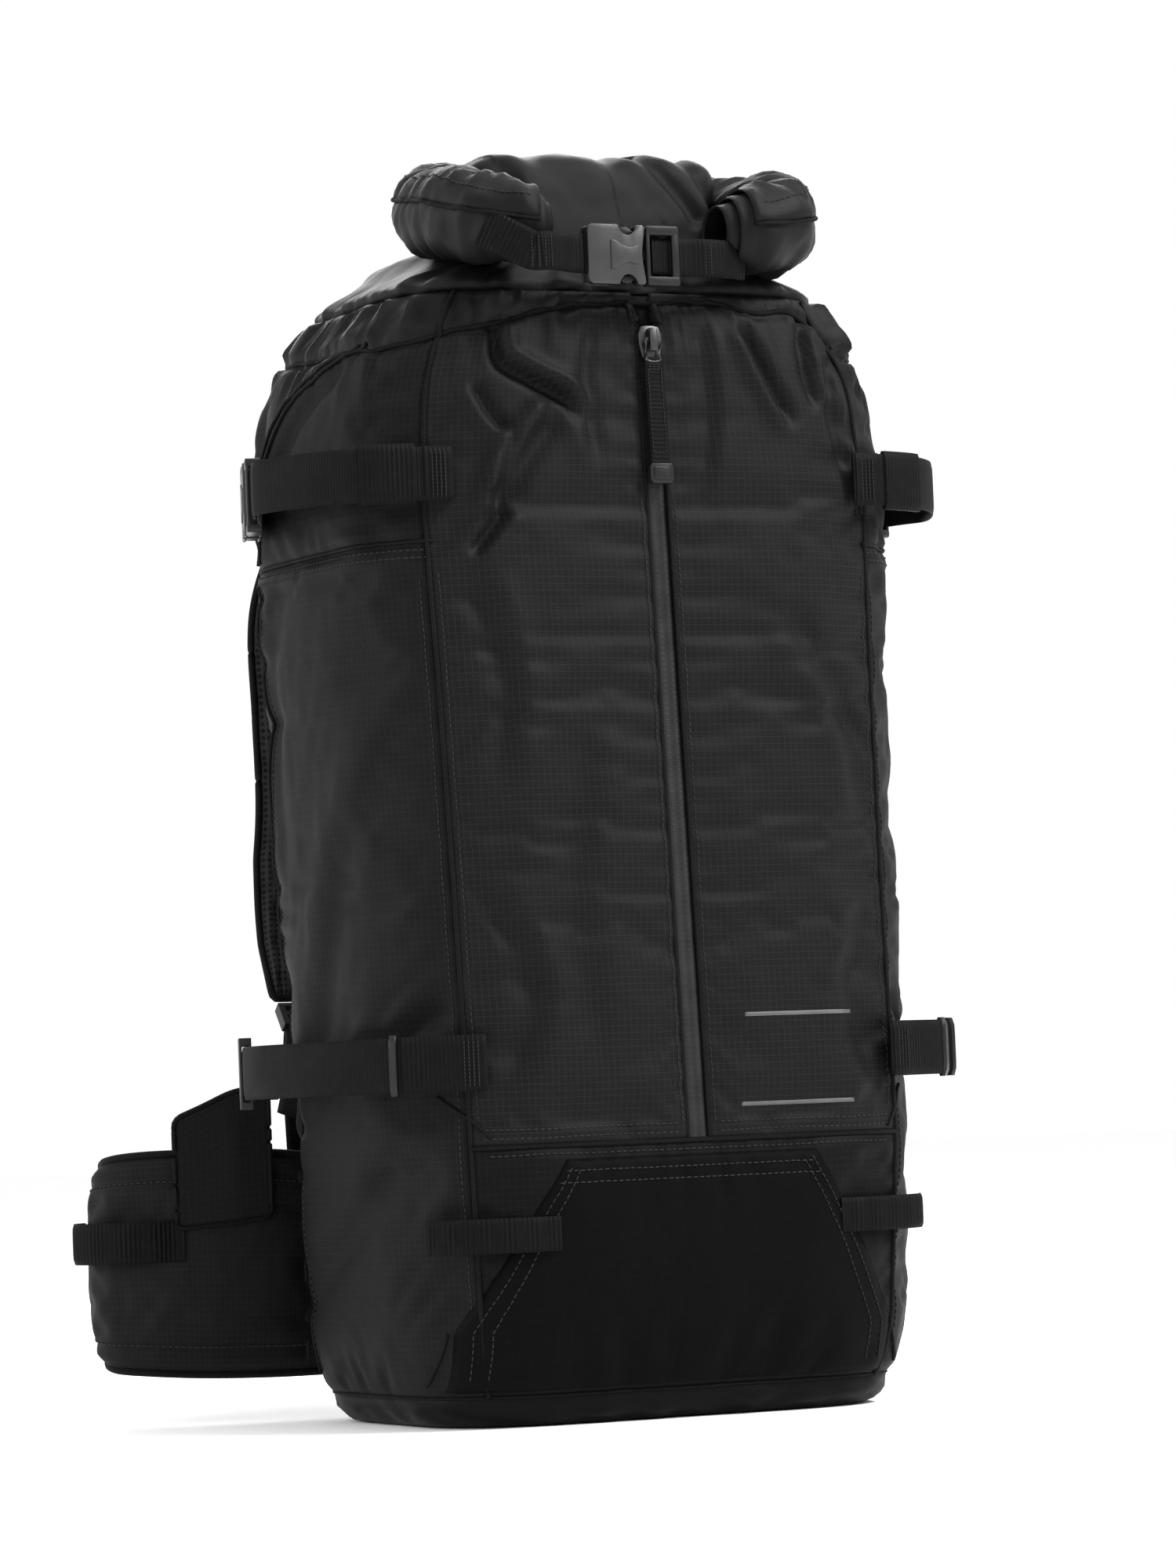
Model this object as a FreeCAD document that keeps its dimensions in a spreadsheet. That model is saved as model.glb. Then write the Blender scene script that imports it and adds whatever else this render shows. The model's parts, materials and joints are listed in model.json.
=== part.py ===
# Ski-touring backpack, about 32 litres. Millimetres, +Z up.
# X is across the pack, the zipped front faces -Y, the wearer's side faces +Y.
# The origin is at the middle of the base, on the ground plane.
import FreeCAD, Part
import math
import os
from FreeCAD import Vector as V

doc = FreeCAD.newDocument("ski_backpack")

# ---------------------------------------------------------------- dimensions
dims = doc.addObject("Spreadsheet::Sheet", "dims")
CELLS = [
    ("fabric_wall", 3.0), ("webbing_thick", 2.0), ("webbing_wide", 25.0), ("webbing_roll", 18.0),
    ("webbing_belt", 38.0), ("webbing_axe", 16.0), ("webbing_lifter", 20.0),
    ("seam_share_front", 0.82), ("seam_share_back", 0.86), ("corner_power", 4.2),
    ("base_rim", 14.0), ("lower_seam", 128.0), ("gather_seam", 526.0), ("zip_half_gap", 5.0),
    ("zip_tape_wide", 26.0), ("zip_ridge_wide", 8.0), ("zip_top", 505.0), ("zip_low", 128.6),
    ("divider_wide", 208.0), ("divider_thick", 1.5), ("divider_tall", 480.0),
    ("sheet_wide", 160.0), ("sheet_thick", 1.5), ("sheet_tall", 465.0),
    ("stay_wide", 25.0), ("stay_thick", 3.0), ("stay_tall", 455.0),
    ("back_pad_thick", 12.0), ("back_pad_wide", 196.0), ("back_pad_tall", 370.0),
    ("lumbar_wide", 184.0), ("lumbar_thick", 23.0), ("lumbar_tall", 84.0),
    ("shoulder_wide", 58.0), ("shoulder_thick", 12.0),
    ("wing_thick", 14.0), ("hood_wall", 3.0), ("roll_radius", 20.0), ("roll_half_wide", 78.0),
    ("batten_wide", 190.0), ("batten_tall", 22.0), ("batten_thick", 2.0),
    ("rail_wide", 4.0), ("rail_deep", 3.4), ("rail_tall", 80.0),
    ("haul_tall", 20.0), ("slider_long", 18.0), ("puller_wide", 10.0), ("puller_long", 48.0),
    ("hinge_y", 90.0), ("hinge_z", 528.3),
]
# Sections of the bag: height, half width at the front, half width at the back, front y, back y.
SECTIONS = [
    (0, 106, 112, -74, 84), (14, 123, 127, -93, 92), (40, 128, 134, -101.2, 95),
    (128, 133, 140, -106, 96), (250, 134, 144, -99.5, 97), (350, 136, 147, -94.2, 97),
    (430, 139, 148, -89.9, 97), (480, 134, 143, -87.3, 97), (505, 124, 132, -85.2, 94),
    (526, 110, 117, -79, 86),
]
row = 1
for alias, value in CELLS:
    dims.set("A%d" % row, alias)
    dims.set("B%d" % row, repr(float(value)))
    dims.setAlias("B%d" % row, alias)
    row += 1
LETTER = "abcdefghij"
for k, sec in enumerate(SECTIONS):
    for word, value in zip(("level", "front_half", "back_half", "front_face", "back_face"), sec):
        alias = "%s_%s" % (word, LETTER[k])
        dims.set("A%d" % row, alias)
        dims.set("B%d" % row, repr(float(value)))
        dims.setAlias("B%d" % row, alias)
        row += 1
doc.recompute()


def D(name):
    return float(dims.get(name))


# ---------------------------------------------------------------- helpers
EXPORT = []


def keep(obj, label):
    obj.Label = label
    EXPORT.append((label, obj))
    return obj


def box(name, sizes, place=None):
    """A Part::Box; a size is a number or an expression on the sheet."""
    b = doc.addObject("Part::Box", name)
    for prop, size in zip(("Length", "Width", "Height"), sizes):
        if isinstance(size, str):
            b.setExpression(prop, size)
        else:
            setattr(b, prop, size)
    if place is not None:
        b.Placement = place
    return b


def at(x, y, z, yaw=0.0):
    return FreeCAD.Placement(V(x, y, z), FreeCAD.Rotation(V(0, 0, 1), yaw))


def fuse(name, objs, place=None):
    f = doc.addObject("Part::MultiFuse", name)
    f.Shapes = objs
    if place is not None:
        f.Placement = place
    return f


def cut(name, base, tool, place=None):
    c = doc.addObject("Part::Cut", name)
    c.Base = base
    c.Tool = tool
    if place is not None:
        c.Placement = place
    return c


def group(name, objs, place=None):
    g = doc.addObject("Part::Compound", name)
    g.Links = objs
    if place is not None:
        g.Placement = place
    return g


def plane_of(body, role):
    return [f for f in body.Origin.OriginFeatures if f.Role == role][0]


def padded(name, pts, length, role="XY_Plane", offset=0.0, mid=False, place=None):
    """A PartDesign body: a closed sketch outline, padded to a length on the sheet."""
    body = doc.addObject("PartDesign::Body", name)
    sk = body.newObject("Sketcher::SketchObject", name + "_outline")
    sk.AttachmentSupport = [(plane_of(body, role), "")]
    sk.MapMode = "FlatFace"
    if offset:
        sk.AttachmentOffset = FreeCAD.Placement(V(0, 0, offset), FreeCAD.Rotation())
    n = len(pts)
    lines = [Part.LineSegment(V(pts[i][0], pts[i][1], 0), V(pts[(i + 1) % n][0], pts[(i + 1) % n][1], 0))
             for i in range(n)]
    sk.addGeometry(lines, False)
    pad = body.newObject("PartDesign::Pad", name + "_pad")
    pad.Profile = sk
    if isinstance(length, str):
        pad.setExpression("Length", length)
    else:
        pad.Length = length
    if mid:
        pad.Midplane = True
    if place is not None:
        body.Placement = place
    return body


def ribbon(path, thick):
    """Outline of a flat strap that follows a path in plan."""
    n = len(path)
    left, right = [], []
    for i, (x, y) in enumerate(path):
        a = path[max(i - 1, 0)]
        b = path[min(i + 1, n - 1)]
        if 0 < i < n - 1:
            d1 = V(x - a[0], y - a[1], 0).normalize()
            d2 = V(b[0] - x, b[1] - y, 0).normalize()
            d = (d1 + d2).normalize()
            k = 1.0 / max(0.5, math.sqrt((1 + d1.dot(d2)) / 2))
        else:
            d = V(b[0] - a[0], b[1] - a[1], 0).normalize()
            k = 1.0
        nx, ny = -d.y * thick / 2 * k, d.x * thick / 2 * k
        left.append((x + nx, y + ny))
        right.append((x - nx, y - ny))
    return left + right[::-1]


def mirror_pts(pts):
    return [(-x, y) for x, y in pts][::-1]


def feature(name, shape, place=None):
    f = doc.addObject("Part::Feature", name)
    f.Shape = shape
    if place is not None:
        f.Placement = place
    return f


def closed_wire(pts):
    return Part.makePolygon([V(*p) for p in pts] + [V(*pts[0])])


def ruled(loops):
    s = Part.makeLoft([closed_wire(p) for p in loops], True, True)
    if s.Volume < 0:
        s.reverse()
    return s


# ---------------------------------------------------------------- section of the bag
POWER = D("corner_power")


def unit(t):
    return max(0.0, 1.0 - abs(t) ** POWER) ** (1.0 / POWER)


def section(z):
    levels = [[D("%s_%s" % (w, LETTER[k])) for w in
               ("level", "front_half", "back_half", "front_face", "back_face")] for k in range(len(SECTIONS))]
    for lo, hi in zip(levels, levels[1:]):
        if lo[0] <= z <= hi[0]:
            t = (z - lo[0]) / (hi[0] - lo[0])
            return [a + (b - a) * t for a, b in zip(lo[1:], hi[1:])]
    raise ValueError(z)


def on_bag(u, v, z, inset=0.0):
    """Point on the bag's outline: u, v are its superellipse coordinates, -1 to 1."""
    xf, xb, yf, yb = section(z)
    half_w = xf + (xb - xf) * (v + 1) / 2 - inset
    half_d = (yb - yf) / 2 - inset
    return (u * half_w, (yf + yb) / 2 + v * half_d, z)


SEAM_F, SEAM_B = D("seam_share_front"), D("seam_share_back")
V_SEAM_F = -unit(SEAM_F)
U_SEAM_B = unit(SEAM_B)
FRONT_U = [0.30, 0.58, SEAM_F]
SIDE_V = [-0.70, -0.35, 0.0, 0.35, 0.70]
WALL = D("fabric_wall")


def band(uv, levels, sign=1):
    loops = []
    for z in levels:
        out = [on_bag(sign * u, v, z) for u, v in uv]
        inn = [on_bag(sign * u, v, z, WALL) for u, v in uv]
        loops.append(out + inn[::-1])
    return ruled(loops)


side_uv = [(SEAM_F, V_SEAM_F)] + [(unit(v), v) for v in SIDE_V] + [(U_SEAM_B, SEAM_B)]
LEVELS_ALL = [D("base_rim"), 40, D("lower_seam"), 250, 350, 430, 480, 505, D("gather_seam")]
LEVELS_UP = [D("lower_seam"), 250, 350, 430, 480, 505, D("gather_seam")]
LEVELS_LOW = [D("base_rim"), 40, D("lower_seam")]

keep(feature("side_panel_l", band(side_uv, LEVELS_ALL, -1)), "side_panel_left")
keep(feature("side_panel_r", band(side_uv, LEVELS_ALL, 1)), "side_panel_right")

# The front is split by the zip: a straight gap of constant width.
GAP = D("zip_half_gap")


def front(sign):
    loops = []
    for z in LEVELS_UP:
        out, inn = [], []
        for u in FRONT_U:
            out.append(on_bag(sign * u, -unit(u), z))
            inn.append(on_bag(sign * u, -unit(u), z, WALL))
        yf = section(z)[2]
        out.insert(0, (sign * GAP, yf, z))
        inn.insert(0, (sign * GAP, yf + WALL, z))
        loops.append(out + inn[::-1])
    return ruled(loops)


keep(feature("front_panel_l", front(-1)), "front_panel_left")
keep(feature("front_panel_r", front(1)), "front_panel_right")

low_uv = [(u, -unit(u)) for u in (-SEAM_F, -0.58, -0.3, 0.0, 0.3, 0.58, SEAM_F)]
keep(feature("lower_front", band(low_uv, LEVELS_LOW)), "lower_front_panel")
back_uv = [(u, unit(u)) for u in (0.58, 0.3, 0.0, -0.3, -0.58)]
back_uv = [(U_SEAM_B, SEAM_B)] + back_uv + [(-U_SEAM_B, SEAM_B)]
keep(feature("back_fabric", band(back_uv, LEVELS_ALL)), "back_panel")

# Base: a tray with a rounded lower edge.
ring_uv = [(u, -unit(u)) for u in (-0.58, -0.3, 0.0, 0.3, 0.58)] + [(SEAM_F, V_SEAM_F)] + \
          [(unit(v), v) for v in SIDE_V] + [(U_SEAM_B, SEAM_B)] + [(u, unit(u)) for u in (0.58, 0.3, 0.0, -0.3, -0.58)] + \
          [(-U_SEAM_B, SEAM_B)] + [(-unit(v), v) for v in SIDE_V[::-1]] + [(-SEAM_F, V_SEAM_F)]
RIM = D("base_rim")
tray_out = feature("tray_outer", ruled([[on_bag(u, v, z) for u, v in ring_uv] for z in (0.0, RIM)]))
inner = []
for z in (WALL, RIM + 1.0):
    zz = min(z, RIM)
    inner.append([on_bag(u, v, zz, WALL)[:2] + (z,) for u, v in ring_uv])
tray_in = feature("tray_inner", ruled(inner))
keep(cut("base_tray", tray_out, tray_in), "base_panel")

# Collar: a stiff ring inside the mouth, under the roll top.
ZC0, ZC1 = 506.0, 525.5
co = feature("collar_outer", ruled([[on_bag(u, v, z, WALL + 0.6) for u, v in ring_uv] for z in (ZC0, ZC1)]))
ci = feature("collar_inner", ruled([[on_bag(u, v, min(max(z, ZC0), ZC1), WALL + 3.2)[:2] + (z,) for u, v in ring_uv]
                                    for z in (ZC0 - 1, ZC1 + 1)]))
keep(cut("mouth_ring", co, ci), "collar")

# ---------------------------------------------------------------- inside
keep(box("divider", ("dims.divider_wide", "dims.divider_thick", "dims.divider_tall"),
         at(-D("divider_wide") / 2, -64.0, 14.5)), "pocket_divider")
keep(box("back_sheet", ("dims.sheet_wide", "dims.sheet_thick", "dims.sheet_tall"),
         at(-D("sheet_wide") / 2, 83.5, 30.0)), "frame_sheet")
keep(box("back_stay", ("dims.stay_wide", "dims.stay_thick", "dims.stay_tall"),
         at(-D("stay_wide") / 2, 83.5 - D("stay_thick"), 35.0)), "frame_stay")

# ---------------------------------------------------------------- front zip
# The zip lies on a straight line that leans out towards the base.
Y_TOP, Y_LOW = section(505)[2], section(128)[2]
LEAN = (Y_LOW - Y_TOP) / (505.0 - 128.0)


def zip_y(z):
    return Y_TOP + LEAN * (505.0 - z)


ZT, ZL = D("zip_top"), D("zip_low")
tape = padded("zip_tape", [(zip_y(ZL) + WALL + 0.2, ZL), (zip_y(ZL) + WALL + 1.4, ZL),
                           (zip_y(ZT) + WALL + 1.4, ZT), (zip_y(ZT) + WALL + 0.2, ZT)],
              "dims.zip_tape_wide", "YZ_Plane", mid=True)
ridge = padded("zip_ridge", [(zip_y(ZL) + 1.0, ZL), (zip_y(ZL) + WALL + 0.6, ZL),
                             (zip_y(ZT) + WALL + 0.6, ZT), (zip_y(ZT) + 1.0, ZT)],
               "dims.zip_ridge_wide", "YZ_Plane", mid=True)
keep(fuse("zip_chain", [tape, ridge]), "front_zip_chain")

# Slider: made upright at the origin of its own frame, then laid on the leaning line.
TILT = math.degrees(math.atan(LEAN))          # negative: the line leans out going down
zip_rot = FreeCAD.Rotation(V(1, 0, 0), TILT)


def on_zip(z, out=0.0):
    return FreeCAD.Placement(V(0, zip_y(z) - out, z), zip_rot)


top_plate = box("slider_plate", (12.0, 2.0, "dims.slider_long"), at(-6, -3.4, -9))
keel = box("slider_keel", (5.0, 1.9, "dims.slider_long"), at(-2.5, -1.5, -9))
post_a = box("slider_post_a", (4.0, 3.2, 2.0), at(-2, -6.5, 5.5))
post_b = box("slider_post_b", (4.0, 3.2, 2.0), at(-2, -6.5, -3.5))
bridge = box("slider_bridge", (4.0, 1.4, 11.0), at(-2, -7.8, -3.5))
keep(fuse("slider", [top_plate, keel, post_a, post_b, bridge], on_zip(500.0)), "zip_slider")

# Puller: a webbing tab that passes behind the slider's bridge, with a moulded end.
ring_o = box("puller_ring_o", (10.0, 1.4, 12.7), at(-5, -5.7, -9.5))
ring_i = box("puller_ring_i", (4.8, 4.0, 8.8), at(-2.4, -6.8, -7.6))
ring = cut("puller_ring", ring_o, ring_i)
tab = box("puller_tab", ("dims.puller_wide", 1.8, "dims.puller_long"),
          at(-D("puller_wide") / 2, -5.9, -9.5 - D("puller_long")))
keep(fuse("puller", [ring, tab], on_zip(500.0)), "zip_puller")
tip_o = box("tip_block", (12.0, 4.0, 9.0), at(-6, -7.0, -9.5 - D("puller_long") - 9.0))
keep(tip_o, "zip_puller_tip")
tip_o.Placement = on_zip(500.0).multiply(at(-6, -7.0, -18.5 - D("puller_long")))

# ---------------------------------------------------------------- side-release buckles
# Local frame: the plug pushes in along +X, webbing lies flat in the XZ plane.


def socket(name, half, length=30.0):
    w = half + 5.0
    outer = box(name + "_o", (length, 8.6, 2 * w), at(0, -4.3, -w))
    hollow = box(name + "_h", (17.0, 5.4, 2 * (half + 3.1)), at(-1, -2.7, -(half + 3.1)))
    slot = box(name + "_s", (4.0, 3.2, 2 * (half + 0.4)), at(length - 8.0, -1.6, -(half + 0.4)))
    win_t = box(name + "_t", (9.0, 5.4, 8.0), at(5.0, -2.7, half + 0.5))
    win_b = box(name + "_b", (9.0, 5.4, 8.0), at(5.0, -2.7, -half - 8.5))
    tools = fuse(name + "_tools", [hollow, slot, win_t, win_b])
    return cut(name, outer, tools)


def plug(name, half, length=17.0):
    w = half + 5.0
    outer = box(name + "_o", (length, 8.0, 2 * w), at(-length - 0.4, -4.0, -w))
    slot = box(name + "_s", (length + 6, 3.2, 2 * (half + 0.5)), at(-length - 3, -1.6, -(half + 0.5)))
    w1 = box(name + "_w1", (4.0, 6.0, 2 * (half + 0.5)), at(-6.4, -5.0, -(half + 0.5)))
    w2 = box(name + "_w2", (4.0, 6.0, 2 * (half + 0.5)), at(-13.4, -5.0, -(half + 0.5)))
    tools = fuse(name + "_tools", [slot, w1, w2])
    return cut(name, outer, tools)


def prong(name, half, side):
    z0 = half + 0.6 if side > 0 else -half - 2.6
    return box(name, (14.0, 3.6, 2.0), at(-0.4, -1.8, z0))


# Upper ski straps. The plan is drawn for the left side and mirrored for the right.
UX, UY = 0.33, 0.944
JX, JY = -161.5, 16.0
yaw_left = math.degrees(math.atan2(UY, UX))
z_up = 438.0
half_up = D("webbing_wide") / 2


def along(s):
    return (JX + UX * s, JY + UY * s)


up_path = [(-104.0, -87.0), (-122.0, -85.6), (-142.0, -79.0), (-158.0, -65.0), (-169.0, -46.0),
           along(-44.0), along(-15.6)]
keep(padded("strap_up_l", ribbon(up_path, D("webbing_thick")), "dims.webbing_wide", offset=z_up - half_up),
     "ski_strap_upper_left")
keep(padded("strap_up_r", mirror_pts(ribbon(up_path, D("webbing_thick"))), "dims.webbing_wide",
            offset=z_up - half_up), "ski_strap_upper_right")
place_l = at(JX, JY, z_up, yaw_left)
place_r = at(-JX, JY, z_up, 180.0 - yaw_left)
for side, place in (("left", place_l), ("right", place_r)):
    s = socket("ski_sock_" + side, half_up)
    s.Placement = place
    keep(s, "ski_socket_" + side)
    p = plug("ski_plugf_" + side, half_up)
    f = fuse("ski_plug_all_" + side, [p, prong("ski_pa_" + side, half_up, 1), prong("ski_pb_" + side, half_up, -1)],
             place)
    keep(f, "ski_plug_" + side)

# Short webbing from each socket, and from each lower lock, to the rear edge of the side panel.
LX, LY = -170.5, 28.0
LUX, LUY = 0.345, 0.9386
z_lo = 167.0
low_lock = (LX + LUX * 20.0, LY + LUY * 20.0)
anchor_up = [along(30.2), along(34.0), (-146.6, 58.0), (-141.5, 68.5)]
anchor_lo = [(low_lock[0] - LUX * 8, low_lock[1] - LUY * 8), (low_lock[0] + LUX * 4, low_lock[1] + LUY * 4),
             (-151.0, 62.0), (-137.5, 72.5)]
anchors = []
for tag, path, z in (("up", anchor_up, z_up), ("lo", anchor_lo, z_lo)):
    for side in ("l", "r"):
        pts = ribbon(path, D("webbing_thick"))
        if side == "r":
            pts = mirror_pts(pts)
        anchors.append(padded("anchor_%s_%s" % (tag, side), pts, "dims.webbing_wide", offset=z - half_up))
keep(group("anchor_webbing", anchors), "ski_anchor_webbing")

# Lower ski straps: fixed loops that end in a ladder lock.
low_path = [(-104.0, -99.4), (-121.0, -94.0), (-141.0, -84.0), (-158.0, -64.0), (-170.0, -38.0), (-175.6, -8.0),
            (LX - LUX * 8, LY - LUY * 8), (low_lock[0] - LUX * 11.0, low_lock[1] - LUY * 11.0)]
keep(padded("strap_lo_l", ribbon(low_path, D("webbing_thick")), "dims.webbing_wide", offset=z_lo - half_up),
     "ski_strap_lower_left")
keep(padded("strap_lo_r", mirror_pts(ribbon(low_path, D("webbing_thick"))), "dims.webbing_wide",
            offset=z_lo - half_up), "ski_strap_lower_right")
locks = []
for side, place in (("l", at(low_lock[0], low_lock[1], z_lo, math.degrees(math.atan2(LUY, LUX)))),
                    ("r", at(-low_lock[0], low_lock[1], z_lo, 180.0 - math.degrees(math.atan2(LUY, LUX))))):
    o = box("lock_o_" + side, (20.0, 6.0, 34.0), at(-16, -3.0, -17))
    h = box("lock_h_" + side, (26.0, 3.2, 26.0), at(-19, -1.6, -13))
    w1 = box("lock_w_" + side, (4.0, 8.0, 26.0), at(-8.5, -4.0, -13))
    locks.append(cut("lock_" + side, o, fuse("lock_t_" + side, [h, w1]), place))
keep(group("low_locks", locks), "ski_lower_locks")

# Axe loops: short webbing loops at the ends of the lower front.
axe_path = [(-74.0, -105.4), (-95.0, -103.6), (-112.0, -97.2), (-122.5, -88.4), (-127.0, -81.0)]
ax_l = padded("axe_l", ribbon(axe_path, D("webbing_thick")), "dims.webbing_axe", offset=80.0)
ax_r = padded("axe_r", mirror_pts(ribbon(axe_path, D("webbing_thick"))), "dims.webbing_axe", offset=82.0)
keep(group("axes_g", [ax_l, ax_r]), "axe_loops")

# ---------------------------------------------------------------- wearer's side
W2, H2, C2 = D("back_pad_wide") / 2, D("back_pad_tall"), 26.0
pad_outline = [(-W2 + C2, 0), (W2 - C2, 0), (W2 - 8, 8), (W2, C2), (W2, H2 - 60), (W2 - 10, H2 - 22), (W2 - 34, H2 - 4),
               (W2 - 50, H2), (-W2 + 50, H2), (-W2 + 34, H2 - 4), (-W2 + 10, H2 - 22), (-W2, H2 - 60), (-W2, C2),
               (-W2 + 8, 8)]
# A sketch on XZ faces -Y, so the pad is placed with its inner face against the back panel.
keep(padded("back_foam", [(x, z) for x, z in pad_outline], "dims.back_pad_thick", "XZ_Plane",
            place=at(0, 97.3 + D("back_pad_thick"), 118.0)), "back_pad")
LW, LH = D("lumbar_wide") / 2, D("lumbar_tall")
lum = [(-LW + 14, 0), (LW - 14, 0), (LW, 12), (LW, LH - 12), (LW - 14, LH), (-LW + 14, LH), (-LW, LH - 12), (-LW, 12)]
keep(padded("lumbar", lum, "dims.lumbar_thick", "XZ_Plane", place=at(0, 97.3 + D("lumbar_thick"), 29.0)), "lumbar_pad")

# Shoulder pads: curved bands that arch out from the back pad.
S_PATH = [(46, 110.0, 440), (50, 130.0, 449), (56, 152.0, 450), (64, 172.0, 428), (71, 180.0, 395), (71, 180.0, 300),
          (80, 171.0, 250), (90, 152.0, 205)]


def band_loops(path, wide, thick):
    loops = []
    for i, (x, y, z) in enumerate(path):
        a, b = path[max(i - 1, 0)], path[min(i + 1, len(path) - 1)]
        if i == 0:
            ny, nz = 0.0, 1.0
        else:
            dy, dz = b[1] - a[1], b[2] - a[2]
            ln = math.hypot(dy, dz)
            ny, nz = -dz / ln, dy / ln
        w, t = wide / 2, thick / 2
        if i == len(path) - 1:
            w *= 0.55
        loops.append([(x - w, y + ny * t, z + nz * t), (x + w, y + ny * t, z + nz * t),
                      (x + w, y - ny * t, z - nz * t), (x - w, y - ny * t, z - nz * t)])
    return loops


for side, sg in (("left", -1), ("right", 1)):
    loops = band_loops(S_PATH, D("shoulder_wide"), D("shoulder_thick"))
    loops = [[(sg * x, y, z) for x, y, z in lp] for lp in loops]
    keep(feature("shoulder_" + side, ruled(loops)), "shoulder_pad_" + side)


def strip(name, a, b, wide, thick="dims.webbing_thick"):
    """A flat strap between two points, wide across X."""
    a, b = V(*a), V(*b)
    s = doc.addObject("Part::Box", name)
    s.Length = (b - a).Length
    s.setExpression("Height", thick)
    s.setExpression("Width", wide)
    dx = (b - a).normalize()
    side = V(1, 0, 0) - dx * dx.x
    side.normalize()
    nrm = dx.cross(side)
    m = FreeCAD.Matrix(dx.x, side.x, nrm.x, a.x, dx.y, side.y, nrm.y, a.y, dx.z, side.z, nrm.z, a.z, 0, 0, 0, 1)
    w = D(wide.split(".")[1])
    t = D(thick.split(".")[1])
    s.Placement = FreeCAD.Placement(m).multiply(FreeCAD.Placement(V(0, -w / 2, -t / 2), FreeCAD.Rotation()))
    return s


keep(group("lifters", [strip("lifter_l", (-46, 98.6, 502), (-64, 184.0, 437), "dims.webbing_lifter"),
                       strip("lifter_r", (46, 98.6, 502), (64, 184.0, 437), "dims.webbing_lifter")]),
     "load_lifter_straps")
keep(group("lower_webs", [strip("lw_l", (-94.5, 140.2, 186.6), (-117, 99.5, 146), "dims.webbing_lifter"),
                          strip("lw_r", (94.5, 140.2, 186.6), (117, 99.5, 146), "dims.webbing_lifter")]),
     "shoulder_webbing")
adj = []
for side, sg in (("l", -1), ("r", 1)):
    o = box("adj_o_" + side, (28.0, 6.0, 14.0), at(-14, -3, -7))
    h = box("adj_h_" + side, (21.0, 8.0, 3.0), at(-10.5, -4, 1.5))
    h2 = box("adj_h2_" + side, (21.0, 8.0, 3.0), at(-10.5, -4, -4.5))
    place = FreeCAD.Placement(V(sg * 91.3, 146.8, 195.6), FreeCAD.Rotation(V(1, 0, 0), -40.0))
    adj.append(cut("adj_" + side, o, fuse("adj_t_" + side, [h, h2]), place))
keep(group("adjusters", adj), "strap_adjusters")

RX, RY = 71.0, 186.05
rails = [box("rail_" + s, ("dims.rail_wide", "dims.rail_deep", "dims.rail_tall"),
             at(sg * RX - D("rail_wide") / 2, RY, 307.0)) for s, sg in (("l", -1), ("r", 1))]
keep(group("rails", rails), "sternum_rails")
haul = [(-34, 95.0), (-33.5, 103.0), (-27, 113.5), (-16, 118.5), (16, 118.5), (27, 113.5), (33.5, 103.0), (34, 95.0)]
haul = [(x, max(y, 97.8)) for x, y in haul]
keep(padded("haul", ribbon(haul, 3.0), "dims.haul_tall", offset=489.5), "haul_loop")

# Sternum strap: a glider on each rail, a strap between them.
ZS = 348.0
for side, sg in (("left", -1), ("right", 1)):
    o = box("gl_o_" + side, (12.0, 7.0, 14.0), at(-6, 0.6, -7))
    h = box("gl_h_" + side, (4.8, 3.6, 20.0), at(-2.4, 0.0, -10))
    keep(cut("glider_" + side, o, h, at(sg * RX, RY, ZS)), "sternum_glider_" + side)
Y_ST = RY + 7.6 + D("webbing_thick") / 2
HS = D("webbing_roll") / 2
# Junction of the buckle at x = 2; socket to the left, plug to the right.
keep(box("st_web_l", (46.9, "dims.webbing_thick", "dims.webbing_roll"), at(-75.0, RY + 7.6, ZS - HS)),
     "sternum_webbing_left")
keep(box("st_web_r", (58.0, "dims.webbing_thick", "dims.webbing_roll"), at(17.0, RY + 7.6, ZS - HS)),
     "sternum_webbing_right")
s = socket("st_sock", HS)
s.Placement = at(2.0, Y_ST, ZS, 180.0)
keep(s, "sternum_socket")
keep(fuse("st_plug_all", [plug("st_plugf", HS), prong("st_pa", HS, 1), prong("st_pb", HS, -1)],
          at(2.0, Y_ST, ZS, 180.0)), "sternum_plug")

# ---------------------------------------------------------------- hip belt
# Plan of the left wing, from its hinge edge by the lumbar pad outwards.
WING = [(-100.4, 108.0, 22, 126), (-128.0, 111.5, 22, 129), (-160.0, 118.0, 23, 130), (-186.0, 129.0, 25, 130),
        (-199.0, 146.0, 27, 128), (-192.0, 172.0, 31, 123), (-176.0, 205.0, 38, 116), (-158.0, 238.0, 46, 108),
        (-134.0, 272.0, 54, 98)]
HINGE = (100.0, 108.0)
FLARE = -15.0   # the right wing lies this far further out, in degrees about its hinge


def wing_loops(path, thick, off=0.0):
    loops = []
    for i, (x, y, z0, z1) in enumerate(path):
        a, b = path[max(i - 1, 0)], path[min(i + 1, len(path) - 1)]
        d = V(b[0] - a[0], b[1] - a[1], 0).normalize()
        nx, ny = -d.y, d.x
        lo, hi = off - thick / 2, off + thick / 2
        loops.append([(x + nx * lo, y + ny * lo, z0), (x + nx * lo, y + ny * lo, z1),
                      (x + nx * hi, y + ny * hi, z1), (x + nx * hi, y + ny * hi, z0)])
    return loops


def flare(place):
    h = V(HINGE[0], HINGE[1], 0)
    rot = FreeCAD.Rotation(V(0, 0, 1), FLARE)
    about = FreeCAD.Placement(h - rot.multVec(h), rot)
    return about.multiply(place)


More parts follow.
